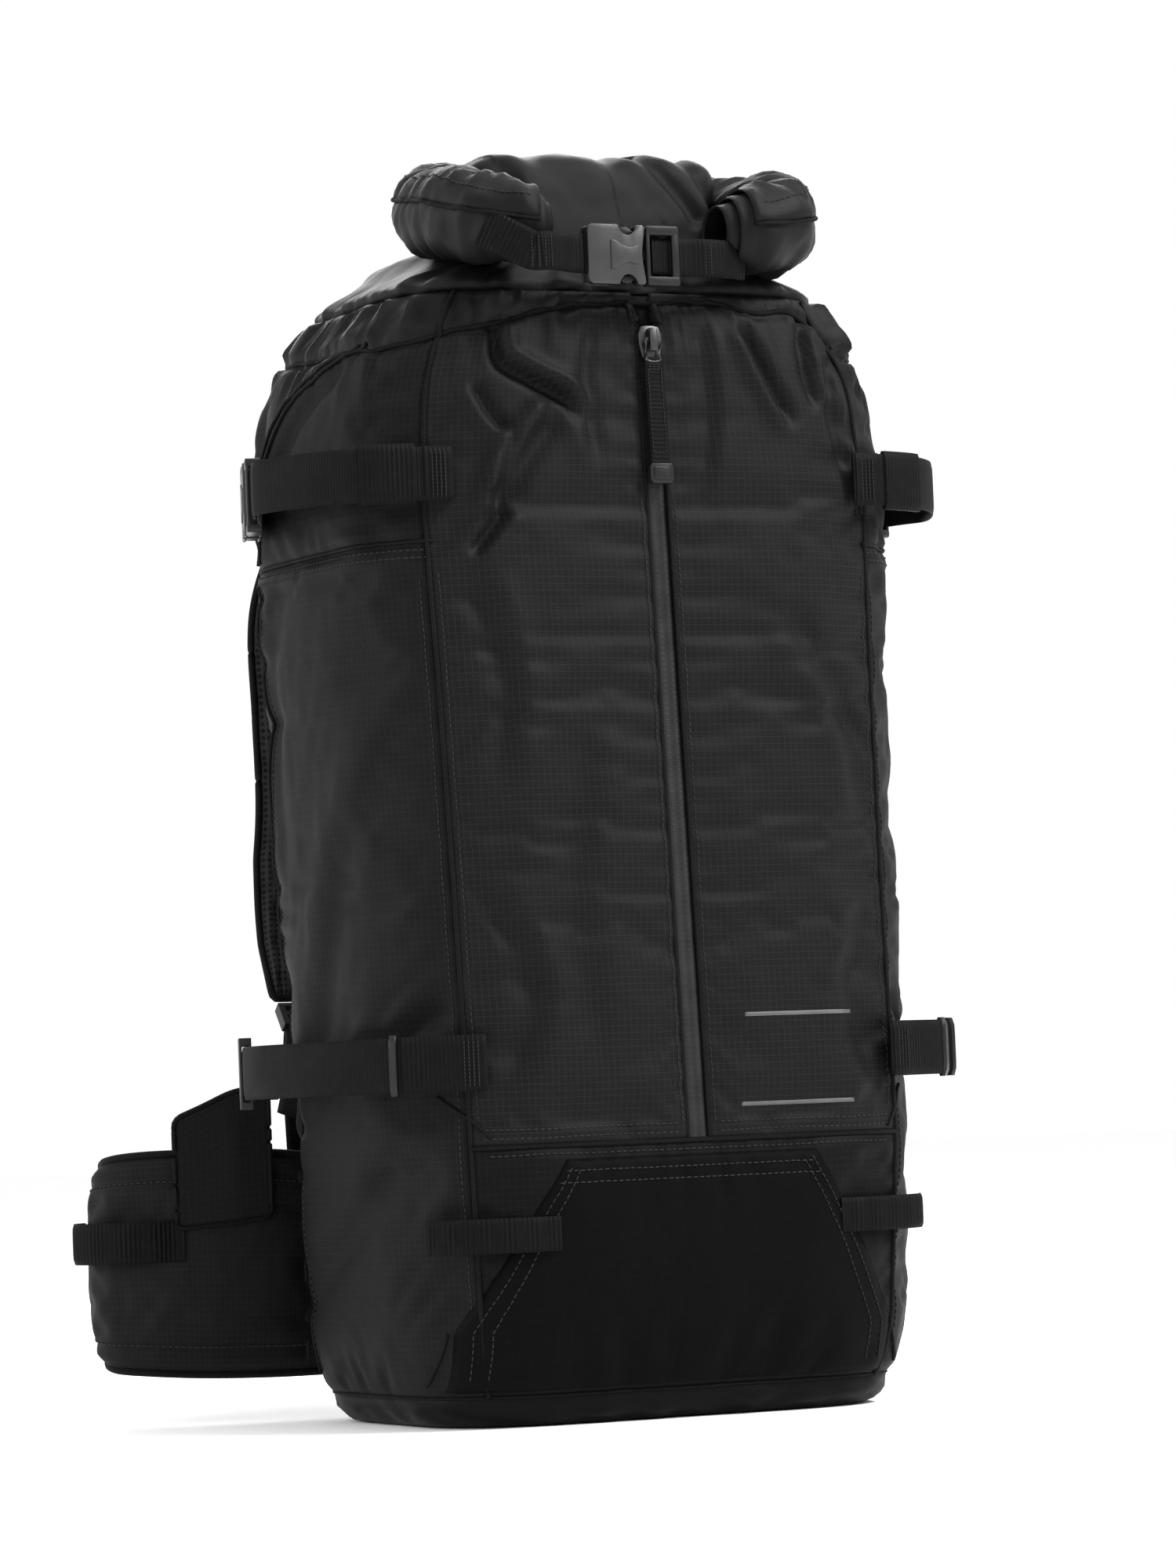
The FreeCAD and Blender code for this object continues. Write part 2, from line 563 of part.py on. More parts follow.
for side, sg in (("left", -1), ("right", 1)):
    def put(loops):
        return ruled([[(-sg * x, y, z) for x, y, z in lp] for lp in loops])
    tail = FreeCAD.Placement() if sg < 0 else flare(FreeCAD.Placement())
    keep(feature("wing_" + side, put(wing_loops(WING, D("wing_thick"))), tail), "hip_wing_" + side)
    # Stabiliser flap: on the outer face of the wing, nearest the bag.
    fl = [(-131.0, 101.5, 98, 162), (-149.0, 104.8, 96, 159), (-176.0, 113.0, 94, 147)]
    keep(feature("flap_" + side, put(wing_loops(fl, 2.0)), tail), "stabiliser_flap_" + side)
    # Gear loop: webbing standing off the wing's outer face.
    gl = [(-179.2, 116.6, 78, 98), (-190.0, 118.4, 78, 98), (-204.5, 128.5, 78, 98), (-213.5, 146.0, 78, 98),
          (-210.0, 164.0, 78, 98), (-201.2, 173.6, 78, 98)]
    keep(feature("gear_" + side, put(wing_loops(gl, 2.0)), tail), "hip_gear_loop_" + side)
    web = [(-133.4, 272.9), (-112.0, 292.0), (-92.0, 300.0), (-48.6 if side == "left" else -27.0, 300.0)]
    pts = ribbon(web, D("webbing_thick"))
    if sg > 0:
        pts = mirror_pts(pts)
    keep(padded("hipweb_" + side, pts, "dims.webbing_belt", offset=57.0, place=tail), "hip_webbing_" + side)
HB = D("webbing_belt") / 2
# The two halves of the belt buckle hang apart: socket on the left, plug on the right.
s = socket("hip_sock", HB, 34.0)
s.Placement = at(-56.5 + 34.0 + 8.0, 300.0, 76.0, 180.0)
keep(s, "hip_socket")
keep(fuse("hip_plug_all", [plug("hip_plugf", HB), prong("hip_pa", HB, 1), prong("hip_pb", HB, -1)],
          flare(at(12.0, 300.0, 76.0, 180.0))), "hip_plug")

# ---------------------------------------------------------------- roll top
# Hood: the gathered collar fabric, a hollow cap over the mouth.
R = D("roll_radius")
HOOD = [(528.7, 108, 114, -76, 85.0), (536.0, 105, 111, -73.5, 83.5)]
LOWER = [(536.0, 82, 98, -64.5, 82.0), (541.0, 78, 97, -64.0, 81.5), (546.0, 61, 92, -63.5, 81.0),
         (550.0, 57, 86, -63.0, 80.5), (555.0, 55.5, 80, -62.3, 78.0)]
CROWN = [(555.0, 55.5, 55.5, -62.3, 2.5), (560.0, 55.5, 55.5, -62.0, 0.5), (568.0, 55, 55, -59.0, -6.5),
         (580.0, 52, 52, -53.0, -8.0), (592.0, 44, 44, -42.0, -9.0), (597.0, 34, 34, -34.0, -13.0)]


def loop_of(sec, inset=0.0, z=None):
    zz, xf, xb, yf, yb = sec
    pts = []
    for u, v in ring_uv:
        hw = xf + (xb - xf) * (v + 1) / 2 - inset
        hd = (yb - yf) / 2 - inset
        pts.append((u * hw, (yf + yb) / 2 + v * hd, zz if z is None else z))
    return pts


hood_o = fuse("hood_outer", [feature("hood_skirt", ruled([loop_of(s) for s in HOOD])),
                             feature("hood_lower", ruled([loop_of(s) for s in LOWER])),
                             feature("hood_crown", ruled([loop_of(s) for s in CROWN]))])
tw = D("hood_wall")
brim = [loop_of(HOOD[0], tw, 526.0), loop_of(HOOD[0], tw), loop_of(HOOD[1], tw, 533.0)]
lower_in = [loop_of(LOWER[0], tw, 532.0), loop_of(LOWER[0], tw), loop_of(LOWER[1], tw, 538.6),
            loop_of(LOWER[2], tw, 543.4), loop_of(LOWER[3], tw, 548.0), loop_of(LOWER[4], tw + 0.5, 552.0)]
hollow = [loop_of(CROWN[0], tw, 551.0), loop_of(CROWN[1], tw), loop_of(CROWN[2], tw + 0.5),
          loop_of(CROWN[3], tw + 1.0, 578.0), loop_of(CROWN[4], tw + 2.0, 589.0)]
keep(cut("hood", hood_o, fuse("hood_inside", [feature("brim_hollow", ruled(brim)), feature("lower_hollow", ruled(lower_in)),
                                              feature("crown_hollow", ruled(hollow))])), "roll_hood")

# Roll: a C of rolled fabric; its ends bend forward and are buckled together.
TILT_ROLL = math.atan2(578.0 - 556.0, 14.0 + 88.0)
NX = D("roll_half_wide")


def roll_pt(x, s):
    # s runs along the tilted plane from the front ends to the back
    return (x, -88.0 + s * math.cos(TILT_ROLL), 556.0 + s * math.sin(TILT_ROLL))


S_BACK = (14.0 + 88.0) / math.cos(TILT_ROLL)
plan = [(-50.0, 0.0), (-57.0, 0.3), (-67.0, 4.5), (-74.5, 13.0), (-NX, 27.0), (-NX, 52.0), (-76.0, 72.0), (-69.0, 88.0),
        (-57.0, 98.5), (-42.0, S_BACK), (0.0, S_BACK)]
plan = plan + [(-x, s) for x, s in plan[-2::-1]]
plan[-1] = (40.0, 0.0)
plan = [p for p in plan]
mid_plane_n = V(0, -math.sin(TILT_ROLL), math.cos(TILT_ROLL))
roll_loops = []
for i, (x, s) in enumerate(plan):
    c = V(*roll_pt(x, s))
    a = V(*roll_pt(*plan[max(i - 1, 0)]))
    b = V(*roll_pt(*plan[min(i + 1, len(plan) - 1)]))
    if 0 < i < len(plan) - 1:
        t = ((c - a).normalize() + (b - c).normalize()).normalize()
    else:
        t = (b - a).normalize()
    nrm = mid_plane_n.cross(t).normalize()
    rad = R * (0.62 if i in (0, len(plan) - 1) else 0.86 if i in (1, len(plan) - 2) else 1.0)
    loop = []
    for k in range(10):
        ang = 2 * math.pi * (k + 0.5) / 10
        p = c + nrm * (rad * 0.98 * math.cos(ang)) + mid_plane_n * (rad * math.sin(ang))
        loop.append((p.x, p.y, p.z))
    roll_loops.append(loop)
roll_solid = feature("roll_tube", ruled(roll_loops))
bw, bt, bh = D("batten_wide"), D("batten_thick"), D("batten_tall")
batten_at = at(-bw / 4, 14.0 - bt / 2, 578.0 - bh / 2)
slot_b = box("batten_slot", ("dims.batten_wide / 2", "dims.batten_thick", "dims.batten_tall"), batten_at)
keep(cut("roll", roll_solid, slot_b), "rolled_collar")
keep(box("batten", ("dims.batten_wide / 2", "dims.batten_thick", "dims.batten_tall"), batten_at), "roll_stiffener")

# Roll buckle: socket on the left strap, plug and its two prongs on the right.
XB, YB, ZB = -7.0, -99.0, 540.0
HR = D("webbing_roll") / 2
s = socket("roll_sock", HR)
s.Placement = at(XB, YB, ZB, 180.0)
keep(s, "roll_socket")
p = plug("roll_plugf", HR)
p.Placement = at(XB, YB, ZB, 180.0)
keep(p, "roll_plug")
for nm, sd in (("roll_prong_upper", 1), ("roll_prong_lower", -1)):
    q = prong(nm + "_bar", HR, sd)
    q.Length = 13.4
    q.Placement = at(XB, YB, ZB, 180.0).multiply(at(0.0, -1.8, HR + 0.6 if sd > 0 else -HR - 2.6))
    keep(q, nm)
strap_l = [(-68.0, -104.0), (-62.0, -106.8), (-55.0, -106.8), (-46.0, -101.5), (XB - 30.5, YB)]
keep(padded("rstrap_l", ribbon(strap_l, D("webbing_thick")), "dims.webbing_roll", offset=ZB - HR), "roll_strap_left")
strap_r = [(XB + 15.8, YB), (XB + 37.0, YB), (46.0, -104.5), (56.0, -107.5), (64.0, -106.0)]
keep(padded("rstrap_r", ribbon(strap_r, D("webbing_thick")), "dims.webbing_roll", offset=ZB - HR), "roll_strap_right")

# ---------------------------------------------------------------- checks and export
doc.recompute()
for o in doc.Objects:
    bad = [st for st in o.State if st in ("Invalid", "Error")]
    if bad:
        raise RuntimeError("%s (%s) is %s" % (o.Name, o.Label, bad))
labels = [l for l, _ in EXPORT]
assert len(labels) == len(set(labels)), "labels repeat"
assert len(labels) <= 60, len(labels)
for label, o in EXPORT:
    s = o.Shape
    if s.isNull() or not s.isValid():
        raise RuntimeError(label + " has no valid shape")
    if s.Volume <= 0:
        raise RuntimeError(label + " has no volume")
os.makedirs("parts", exist_ok=True)
for label, o in EXPORT:
    o.Shape.exportStep("parts/%s.step" % label)
print(len(EXPORT), "nodes")
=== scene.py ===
import bpy
import json
import math
import numpy as np
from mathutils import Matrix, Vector, noise
from mathutils.bvhtree import BVHTree

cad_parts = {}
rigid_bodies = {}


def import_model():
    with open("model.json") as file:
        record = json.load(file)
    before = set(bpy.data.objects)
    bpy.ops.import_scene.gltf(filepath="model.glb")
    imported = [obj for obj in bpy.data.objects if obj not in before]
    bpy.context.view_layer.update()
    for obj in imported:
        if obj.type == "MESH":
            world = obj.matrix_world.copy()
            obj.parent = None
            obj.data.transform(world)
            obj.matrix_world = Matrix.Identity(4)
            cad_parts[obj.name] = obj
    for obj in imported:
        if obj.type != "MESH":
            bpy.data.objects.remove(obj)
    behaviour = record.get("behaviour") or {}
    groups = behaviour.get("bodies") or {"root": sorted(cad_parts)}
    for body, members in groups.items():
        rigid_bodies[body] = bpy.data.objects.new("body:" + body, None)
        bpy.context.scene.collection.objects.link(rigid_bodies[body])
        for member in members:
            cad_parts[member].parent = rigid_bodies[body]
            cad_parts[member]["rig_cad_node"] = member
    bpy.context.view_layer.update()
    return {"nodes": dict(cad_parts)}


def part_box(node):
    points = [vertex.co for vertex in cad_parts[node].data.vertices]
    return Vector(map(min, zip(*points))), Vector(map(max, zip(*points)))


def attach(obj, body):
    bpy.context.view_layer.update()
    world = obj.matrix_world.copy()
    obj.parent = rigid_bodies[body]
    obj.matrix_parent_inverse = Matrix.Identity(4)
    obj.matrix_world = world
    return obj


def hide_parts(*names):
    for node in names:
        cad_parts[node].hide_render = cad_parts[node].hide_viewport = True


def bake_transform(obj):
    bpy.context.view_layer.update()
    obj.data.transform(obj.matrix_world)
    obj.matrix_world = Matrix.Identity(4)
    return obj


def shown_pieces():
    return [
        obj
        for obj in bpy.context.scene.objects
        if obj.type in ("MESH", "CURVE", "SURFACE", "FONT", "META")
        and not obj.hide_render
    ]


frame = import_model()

SCENE = bpy.context.scene
MM = 0.001

# ------------------------------------------------------------------ camera
TARGET = Vector((0.0, 0.0, 0.300))
AZ, EL, ROLL, DIST = math.radians(-25.0), math.radians(-3.4), math.radians(2.3), 2.640
back = Vector((math.sin(AZ) * math.cos(EL), -math.cos(AZ) * math.cos(EL), math.sin(EL)))
right = (-back).cross(Vector((0, 0, 1))).normalized()
up = right.cross(-back)
r2 = math.cos(ROLL) * right - math.sin(ROLL) * up
u2 = math.sin(ROLL) * right + math.cos(ROLL) * up
cam_data = bpy.data.cameras.new("camera")
cam_data.lens, cam_data.sensor_width = 126.0, 36.0
cam_data.clip_start, cam_data.clip_end = 0.05, 100.0
cam = bpy.data.objects.new("camera", cam_data)
SCENE.collection.objects.link(cam)
loc = TARGET + back * DIST
from mathutils import Matrix
cam.matrix_world = Matrix(((r2.x, u2.x, back.x, loc.x), (r2.y, u2.y, back.y, loc.y), (r2.z, u2.z, back.z, loc.z),
                           (0, 0, 0, 1)))
SCENE.camera = cam


# ------------------------------------------------------------------ materials
class Nodes:
    def __init__(self, name):
        self.m = bpy.data.materials.new(name)
        self.m.use_nodes = True
        self.t = self.m.node_tree
        self.b = self.t.nodes["Principled BSDF"]

    def add(self, kind, **kw):
        n = self.t.nodes.new(kind)
        for k, v in kw.items():
            setattr(n, k, v)
        return n

    def link(self, a, b):
        self.t.links.new(a, b)

    def math(self, op, a, b=None, clamp=False):
        n = self.add("ShaderNodeMath", operation=op, use_clamp=clamp)
        for i, v in enumerate((a, b)):
            if v is None:
                continue
            if isinstance(v, (int, float)):
                n.inputs[i].default_value = v
            else:
                self.link(v, n.inputs[i])
        return n.outputs[0]

    def mix(self, fac, a, b):
        n = self.add("ShaderNodeMix", data_type="RGBA")
        self.link(fac, n.inputs[0])
        for i, v in ((6, a), (7, b)):
            if isinstance(v, tuple):
                n.inputs[i].default_value = v
            else:
                self.link(v, n.inputs[i])
        return n.outputs[2]

    def coord(self, which="UV"):
        if which == "UV":
            n = self.add("ShaderNodeUVMap", uv_map="uv")
            return n.outputs[0]
        return self.add("ShaderNodeTexCoord").outputs[which]

    def noise(self, vec, scale, detail=3.0, rough=0.55):
        n = self.add("ShaderNodeTexNoise")
        n.inputs["Scale"].default_value = scale
        n.inputs["Detail"].default_value = detail
        n.inputs["Roughness"].default_value = rough
        self.link(vec, n.inputs["Vector"])
        return n.outputs["Fac"]

    def ramp(self, x, a, b):
        n = self.add("ShaderNodeMapRange")
        n.inputs["From Min"].default_value, n.inputs["From Max"].default_value = a
        n.inputs["To Min"].default_value, n.inputs["To Max"].default_value = b
        self.link(x, n.inputs["Value"])
        return n.outputs[0]

    def bump(self, height, strength, distance, normal=None):
        n = self.add("ShaderNodeBump")
        n.inputs["Strength"].default_value = strength
        n.inputs["Distance"].default_value = distance
        self.link(height, n.inputs["Height"])
        if normal is not None:
            self.link(normal, n.inputs["Normal"])
        return n.outputs[0]


def grey(v, tint=(1.0, 1.0, 1.0)):
    return (v * tint[0], v * tint[1], v * tint[2], 1.0)


def lines(n, coord, pitch, duty):
    """1 on a thin line repeated every pitch metres, 0 elsewhere."""
    f = n.math("FRACT", n.math("DIVIDE", coord, pitch))
    d = n.math("ABSOLUTE", n.math("SUBTRACT", f, 0.5))
    return n.math("GREATER_THAN", d, 0.5 - duty / 2)


def fabric(name, base, light, rough, grid=0.0032, duty=0.16, sheen=0.0, grid_bump=0.35, fine=0.00075, wear=0.5,
           spec=0.11):
    n = Nodes(name)
    uv = n.coord("UV")
    sep = n.add("ShaderNodeSeparateXYZ")
    n.link(uv, sep.inputs[0])
    u, v = sep.outputs[0], sep.outputs[1]
    big = n.noise(uv, 9.0, 4.0)
    mid = n.noise(uv, 120.0, 3.0)
    gu, gv = lines(n, u, grid, duty), lines(n, v, grid, duty)
    g = n.math("MAXIMUM", gu, gv)
    # warp and weft threads
    wu = n.math("SINE", n.math("MULTIPLY", u, 2 * math.pi / fine))
    wv = n.math("SINE", n.math("MULTIPLY", v, 2 * math.pi / fine))
    weave = n.math("MULTIPLY", wu, wv)
    c1 = n.mix(n.ramp(big, (0.3, 0.7), (0.0, 1.0)), grey(base, (0.98, 1.0, 1.03)), grey(base * 1.28, (1.0, 1.0, 1.02)))
    c2 = n.mix(n.math("MULTIPLY", g, 0.55), c1, grey(light, (1.0, 1.0, 1.02)))
    n.link(n.mix(n.ramp(mid, (0.45, 0.85), (0.0, 0.28 * wear)), c2, grey(light * 1.15)), n.b.inputs["Base Color"])
    n.link(n.ramp(n.math("ADD", n.math("MULTIPLY", big, 0.7), n.math("MULTIPLY", mid, 0.3)), (0.3, 0.7),
                  (rough - 0.06, rough + 0.08)), n.b.inputs["Roughness"])
    h = n.math("ADD", n.math("MULTIPLY", g, grid_bump), n.math("MULTIPLY", weave, 0.16))
    h = n.math("ADD", h, n.math("MULTIPLY", mid, 0.30))
    n.link(n.bump(h, 0.45, 0.00045), n.b.inputs["Normal"])
    n.b.inputs["Sheen Weight"].default_value = sheen
    n.b.inputs["Sheen Roughness"].default_value = 0.45
    n.b.inputs["IOR"].default_value = 1.46
    n.b.inputs["Specular IOR Level"].default_value = spec
    return n.m


def webbing_mat(name, base, light, pitch=0.0021, rough=0.62):
    n = Nodes(name)
    uv = n.coord("UV")
    sep = n.add("ShaderNodeSeparateXYZ")
    n.link(uv, sep.inputs[0])
    u, v = sep.outputs[0], sep.outputs[1]
    rib = n.math("SINE", n.math("MULTIPLY", v, 2 * math.pi / pitch))
    rib = n.ramp(rib, (-1.0, 1.0), (0.0, 1.0))
    thread = n.math("ABSOLUTE", n.math("SINE", n.math("MULTIPLY", n.math("ADD", u, n.math("MULTIPLY", v, 0.6)),
                                                     math.pi / 0.0011)))
    mid = n.noise(uv, 160.0, 3.0)
    big = n.noise(uv, 22.0, 2.0)
    c = n.mix(n.math("MULTIPLY", rib, 0.6), grey(base * 0.75), grey(light))
    c = n.mix(n.ramp(mid, (0.45, 0.8), (0.0, 0.30)), c, grey(light * 1.35))
    n.link(c, n.b.inputs["Base Color"])
    n.link(n.ramp(big, (0.3, 0.7), (rough - 0.06, rough + 0.08)), n.b.inputs["Roughness"])
    h = n.math("ADD", n.math("MULTIPLY", rib, 0.55), n.math("MULTIPLY", thread, 0.3))
    n.link(n.bump(h, 0.6, 0.0005), n.b.inputs["Normal"])
    n.b.inputs["Specular IOR Level"].default_value = 0.07
    return n.m


def mesh_fabric(name, base, light, cell=0.0034):
    n = Nodes(name)
    uv = n.coord("UV")
    vor = n.add("ShaderNodeTexVoronoi", feature="F1")
    vor.inputs["Scale"].default_value = 1.0 / cell
    vor.inputs["Randomness"].default_value = 0.12
    n.link(uv, vor.inputs["Vector"])
    hole = n.ramp(vor.outputs["Distance"], (0.12, 0.46), (0.0, 1.0))
    mid = n.noise(uv, 60.0, 3.0)
    # the holes are coloured darker than the ridges between them: painted shade in the mesh holes
    c = n.mix(hole, grey(base * 0.45), grey(light))
    c = n.mix(n.ramp(mid, (0.4, 0.8), (0.0, 0.35)), c, grey(base))
    n.link(c, n.b.inputs["Base Color"])
    n.link(n.ramp(hole, (0.0, 1.0), (0.9, 0.66)), n.b.inputs["Roughness"])
    n.link(n.bump(hole, 0.55, 0.0007), n.b.inputs["Normal"])
    n.b.inputs["Specular IOR Level"].default_value = 0.10
    return n.m


def plastic(name, base, rough=0.42, grain=900.0, coords="Object", metal=0.0, tint=(1.0, 1.0, 1.02), spec=0.3):
    n = Nodes(name)
    co = n.coord(coords)
    fine = n.noise(co, grain, 3.0)
    big = n.noise(co, 60.0, 3.0)
    n.link(n.mix(n.ramp(big, (0.35, 0.7), (0.0, 1.0)), grey(base, tint), grey(base * 1.35, tint)),
           n.b.inputs["Base Color"])
    n.link(n.ramp(big, (0.3, 0.7), (rough - 0.06, rough + 0.07)), n.b.inputs["Roughness"])
    n.link(n.bump(fine, 0.22, 0.00025), n.b.inputs["Normal"])
    n.b.inputs["Metallic"].default_value = metal
    n.b.inputs["Specular IOR Level"].default_value = spec
    return n.m


def zip_mat(name):
    n = Nodes(name)
    uv = n.coord("UV")
    sep = n.add("ShaderNodeSeparateXYZ")
    n.link(uv, sep.inputs[0])
    u, v = sep.outputs[0], sep.outputs[1]
    rib = n.ramp(n.math("SINE", n.math("MULTIPLY", v, 2 * math.pi / 0.0026)), (-1.0, 1.0), (0.0, 1.0))
    mid = n.noise(uv, 70.0, 3.0)
    c = n.mix(n.ramp(mid, (0.3, 0.75), (0.0, 1.0)), grey(0.0075), grey(0.014))
    n.link(c, n.b.inputs["Base Color"])
    n.link(n.ramp(mid, (0.3, 0.7), (0.30, 0.42)), n.b.inputs["Roughness"])
    n.link(n.bump(rib, 0.18, 0.0003), n.b.inputs["Normal"])
    n.b.inputs["Coat Weight"].default_value = 0.04
    n.b.inputs["Specular IOR Level"].default_value = 0.22
    n.b.inputs["Coat Roughness"].default_value = 0.25
    return n.m


RIP = fabric("ripstop_front", 0.0040, 0.0115, 0.52, spec=0.09)
RIP_SIDE = fabric("ripstop_side", 0.0034, 0.0090, 0.54, spec=0.08)
# a darker copy of the ripstop for the lower front: painted shade, since the lower panels get less light from above
RIP_SHADED_LOW = fabric("ripstop_lower", 0.0026, 0.0066, 0.48, spec=0.06)
NYLON = fabric("nylon_smooth", 0.0038, 0.0062, 0.44, grid=0.0060, duty=0.05, grid_bump=0.05, fine=0.0006, wear=0.3,
               spec=0.11)
# the patch's own smoother fabric, made darker still as painted shade for the lower front
PATCH_AND_SHADE = fabric("patch_fabric", 0.0018, 0.0036, 0.50, grid=0.0050, duty=0.06, grid_bump=0.08, spec=0.035)
BASE_NYLON = fabric("nylon_base", 0.0024, 0.0046, 0.42, grid=0.0040, duty=0.08, grid_bump=0.1, spec=0.06)
LINING = fabric("lining", 0.045, 0.060, 0.55, grid=0.0050, duty=0.1)
MESH = mesh_fabric("pad_mesh", 0.007, 0.018)
PADF = fabric("pad_fabric", 0.0050, 0.011, 0.62, grid=0.0026, duty=0.2, spec=0.08)
WEB = webbing_mat("webbing_black", 0.0022, 0.0052)
WEB_S = webbing_mat("webbing_smooth", 0.0030, 0.0062, pitch=0.0014)
BIND = webbing_mat("binding", 0.0030, 0.0065, pitch=0.0012)
THREAD = plastic("thread", 0.017, 0.6, 1500.0, spec=0.1)
PLASTIC = plastic("plastic_dark", 0.0075, 0.36, spec=0.22)
PLATE = plastic("plastic_plate", 0.026, 0.32, 700.0, spec=0.28)
SHEETP = plastic("sheet_plastic", 0.045, 0.5, 300.0)
ALU = plastic("aluminium", 0.55, 0.35, 400.0, metal=1.0)
STEEL = plastic("slider_metal", 0.05, 0.32, 500.0, metal=0.85)
ZIP = zip_mat("zip_coated")
REFLECT = plastic("reflective_print", 0.062, 0.45, 1200.0)
# near-black material for the vent slit: painted shade standing in for the dark of the opening
SLIT_SHADE = plastic("slit_dark", 0.003, 0.8, 300.0)


# ------------------------------------------------------------------ mesh helpers
def link_mesh(name, verts, faces, mats, uv=None, mat_index=None, smooth=True):
    me = bpy.data.meshes.new(name)
    v = np.asarray(verts, float) * MM
    me.from_pydata(v.tolist(), [], [list(map(int, f)) for f in faces])
    if not isinstance(mats, (list, tuple)):
        mats = [mats]
    for m in mats:
        me.materials.append(m)
    if uv is not None:
        layer = me.uv_layers.new(name="uv")
        idx = np.zeros(len(me.loops), np.int32)
        me.loops.foreach_get("vertex_index", idx)
        layer.data.foreach_set("uv", (np.asarray(uv, float) * MM)[idx].astype(np.float32).ravel())
    if mat_index is not None:
        me.polygons.foreach_set("material_index", np.asarray(mat_index, np.int32))
    me.polygons.foreach_set("use_smooth", [smooth] * len(me.polygons))
    me.update()
    ob = bpy.data.objects.new(name, me)
    SCENE.collection.objects.link(ob)
    return ob


def put(ob, body, nodes=()):
    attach(ob, body)
    if nodes:
        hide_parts(*nodes)
    return ob


def grid_faces(nu, nv, base=0, flip=False, wrap=False):
    fs = []
    for i in range(nu if wrap else nu - 1):
        a, b = base + i * nv, base + ((i + 1) % nu) * nv
        for j in range(nv - 1):
            f = (a + j, b + j, b + j + 1, a + j + 1)
            fs.append(f[::-1] if flip else f)
    return fs


def upsample(G, k, axis):
    G = np.moveaxis(np.asarray(G, float), axis, 0)
    n = len(G)
    P = np.concatenate([[2 * G[0] - G[1]], G, [2 * G[-1] - G[-2]]])
    t = (np.arange(k) / k).reshape((k,) + (1,) * (G.ndim - 1))
    out = []
    for i in range(n - 1):
        p0, p1, p2, p3 = P[i], P[i + 1], P[i + 2], P[i + 3]
        out.append(0.5 * ((2 * p1) + (-p0 + p2) * t + (2 * p0 - 5 * p1 + 4 * p2 - p3) * t * t
                          + (-p0 + 3 * p1 - 3 * p2 + p3) * t ** 3))
    out.append(G[-1][None])
    return np.moveaxis(np.concatenate(out), 0, axis)


def normals(G):
    du = np.gradient(G, axis=0)
    dv = np.gradient(G, axis=1)
    n = np.cross(du, dv)
    return n / np.maximum(np.linalg.norm(n, axis=2, keepdims=True), 1e-9)


def arc_uv(G):
    du = np.linalg.norm(np.diff(G, axis=0), axis=2)
    dv = np.linalg.norm(np.diff(G, axis=1), axis=2)
    u = np.concatenate([[0], np.cumsum(du.mean(1))])
    v = np.concatenate([[0], np.cumsum(dv.mean(0))])
    return np.stack(np.meshgrid(u, v, indexing="ij"), axis=2)


def skin(name, G, thick, mats, N=None, inner_mat=None, face_mat=None, uv=None):
    """A closed sheet: G outside, an offset copy inside, and a rim."""
    nu, nv = G.shape[:2]
    N = normals(G) if N is None else N
    inner = G - N * thick
    verts = np.concatenate([G.reshape(-1, 3), inner.reshape(-1, 3)])
    uvg = (arc_uv(G) if uv is None else uv).reshape(-1, 2)
    off = nu * nv
    outer_f = grid_faces(nu, nv)
    faces = outer_f + grid_faces(nu, nv, off, flip=True)
    ids = np.arange(nu * nv).reshape(nu, nv)
    ring = list(ids[:, 0]) + list(ids[-1, 1:]) + list(ids[-2::-1, -1]) + list(ids[0, -2:0:-1])
    for a, b in zip(ring, ring[1:] + ring[:1]):
        faces.append((b, a, a + off, b + off))
    mi = None
    mats = list(mats) if isinstance(mats, (list, tuple)) else [mats]
    if inner_mat is not None:
        mats.append(inner_mat)
    mi = np.zeros(len(faces), int)
    if face_mat is not None:
        mi[:len(outer_f)] = face_mat
    if inner_mat is not None:
        mi[len(outer_f):2 * len(outer_f)] = len(mats) - 1
    return link_mesh(name, verts, faces, mats, np.concatenate([uvg, uvg]), mi)


def smooth_path(pts, step):
    """A rounded line through the points, evenly spaced."""
    p = upsample(np.asarray(pts, float), 12, 0)
    d = np.concatenate([[0], np.cumsum(np.linalg.norm(np.diff(p, axis=0), axis=1))])
    n = max(3, int(round(d[-1] / step)) + 1)
    s = np.linspace(0, d[-1], n)
    return np.stack([np.interp(s, d, p[:, k]) for k in range(p.shape[1])], 1)


def even(pts, step):
    p = np.asarray(pts, float)
    d = np.concatenate([[0], np.cumsum(np.linalg.norm(np.diff(p, axis=0), axis=1))])
    n = max(2, int(round(d[-1] / step)) + 1)
    s = np.linspace(0, d[-1], n)
    return np.stack([np.interp(s, d, p[:, k]) for k in range(p.shape[1])], 1)


def unitv(a):
    a = np.asarray(a, float)
    return a / np.maximum(np.linalg.norm(a, axis=-1, keepdims=True), 1e-9)


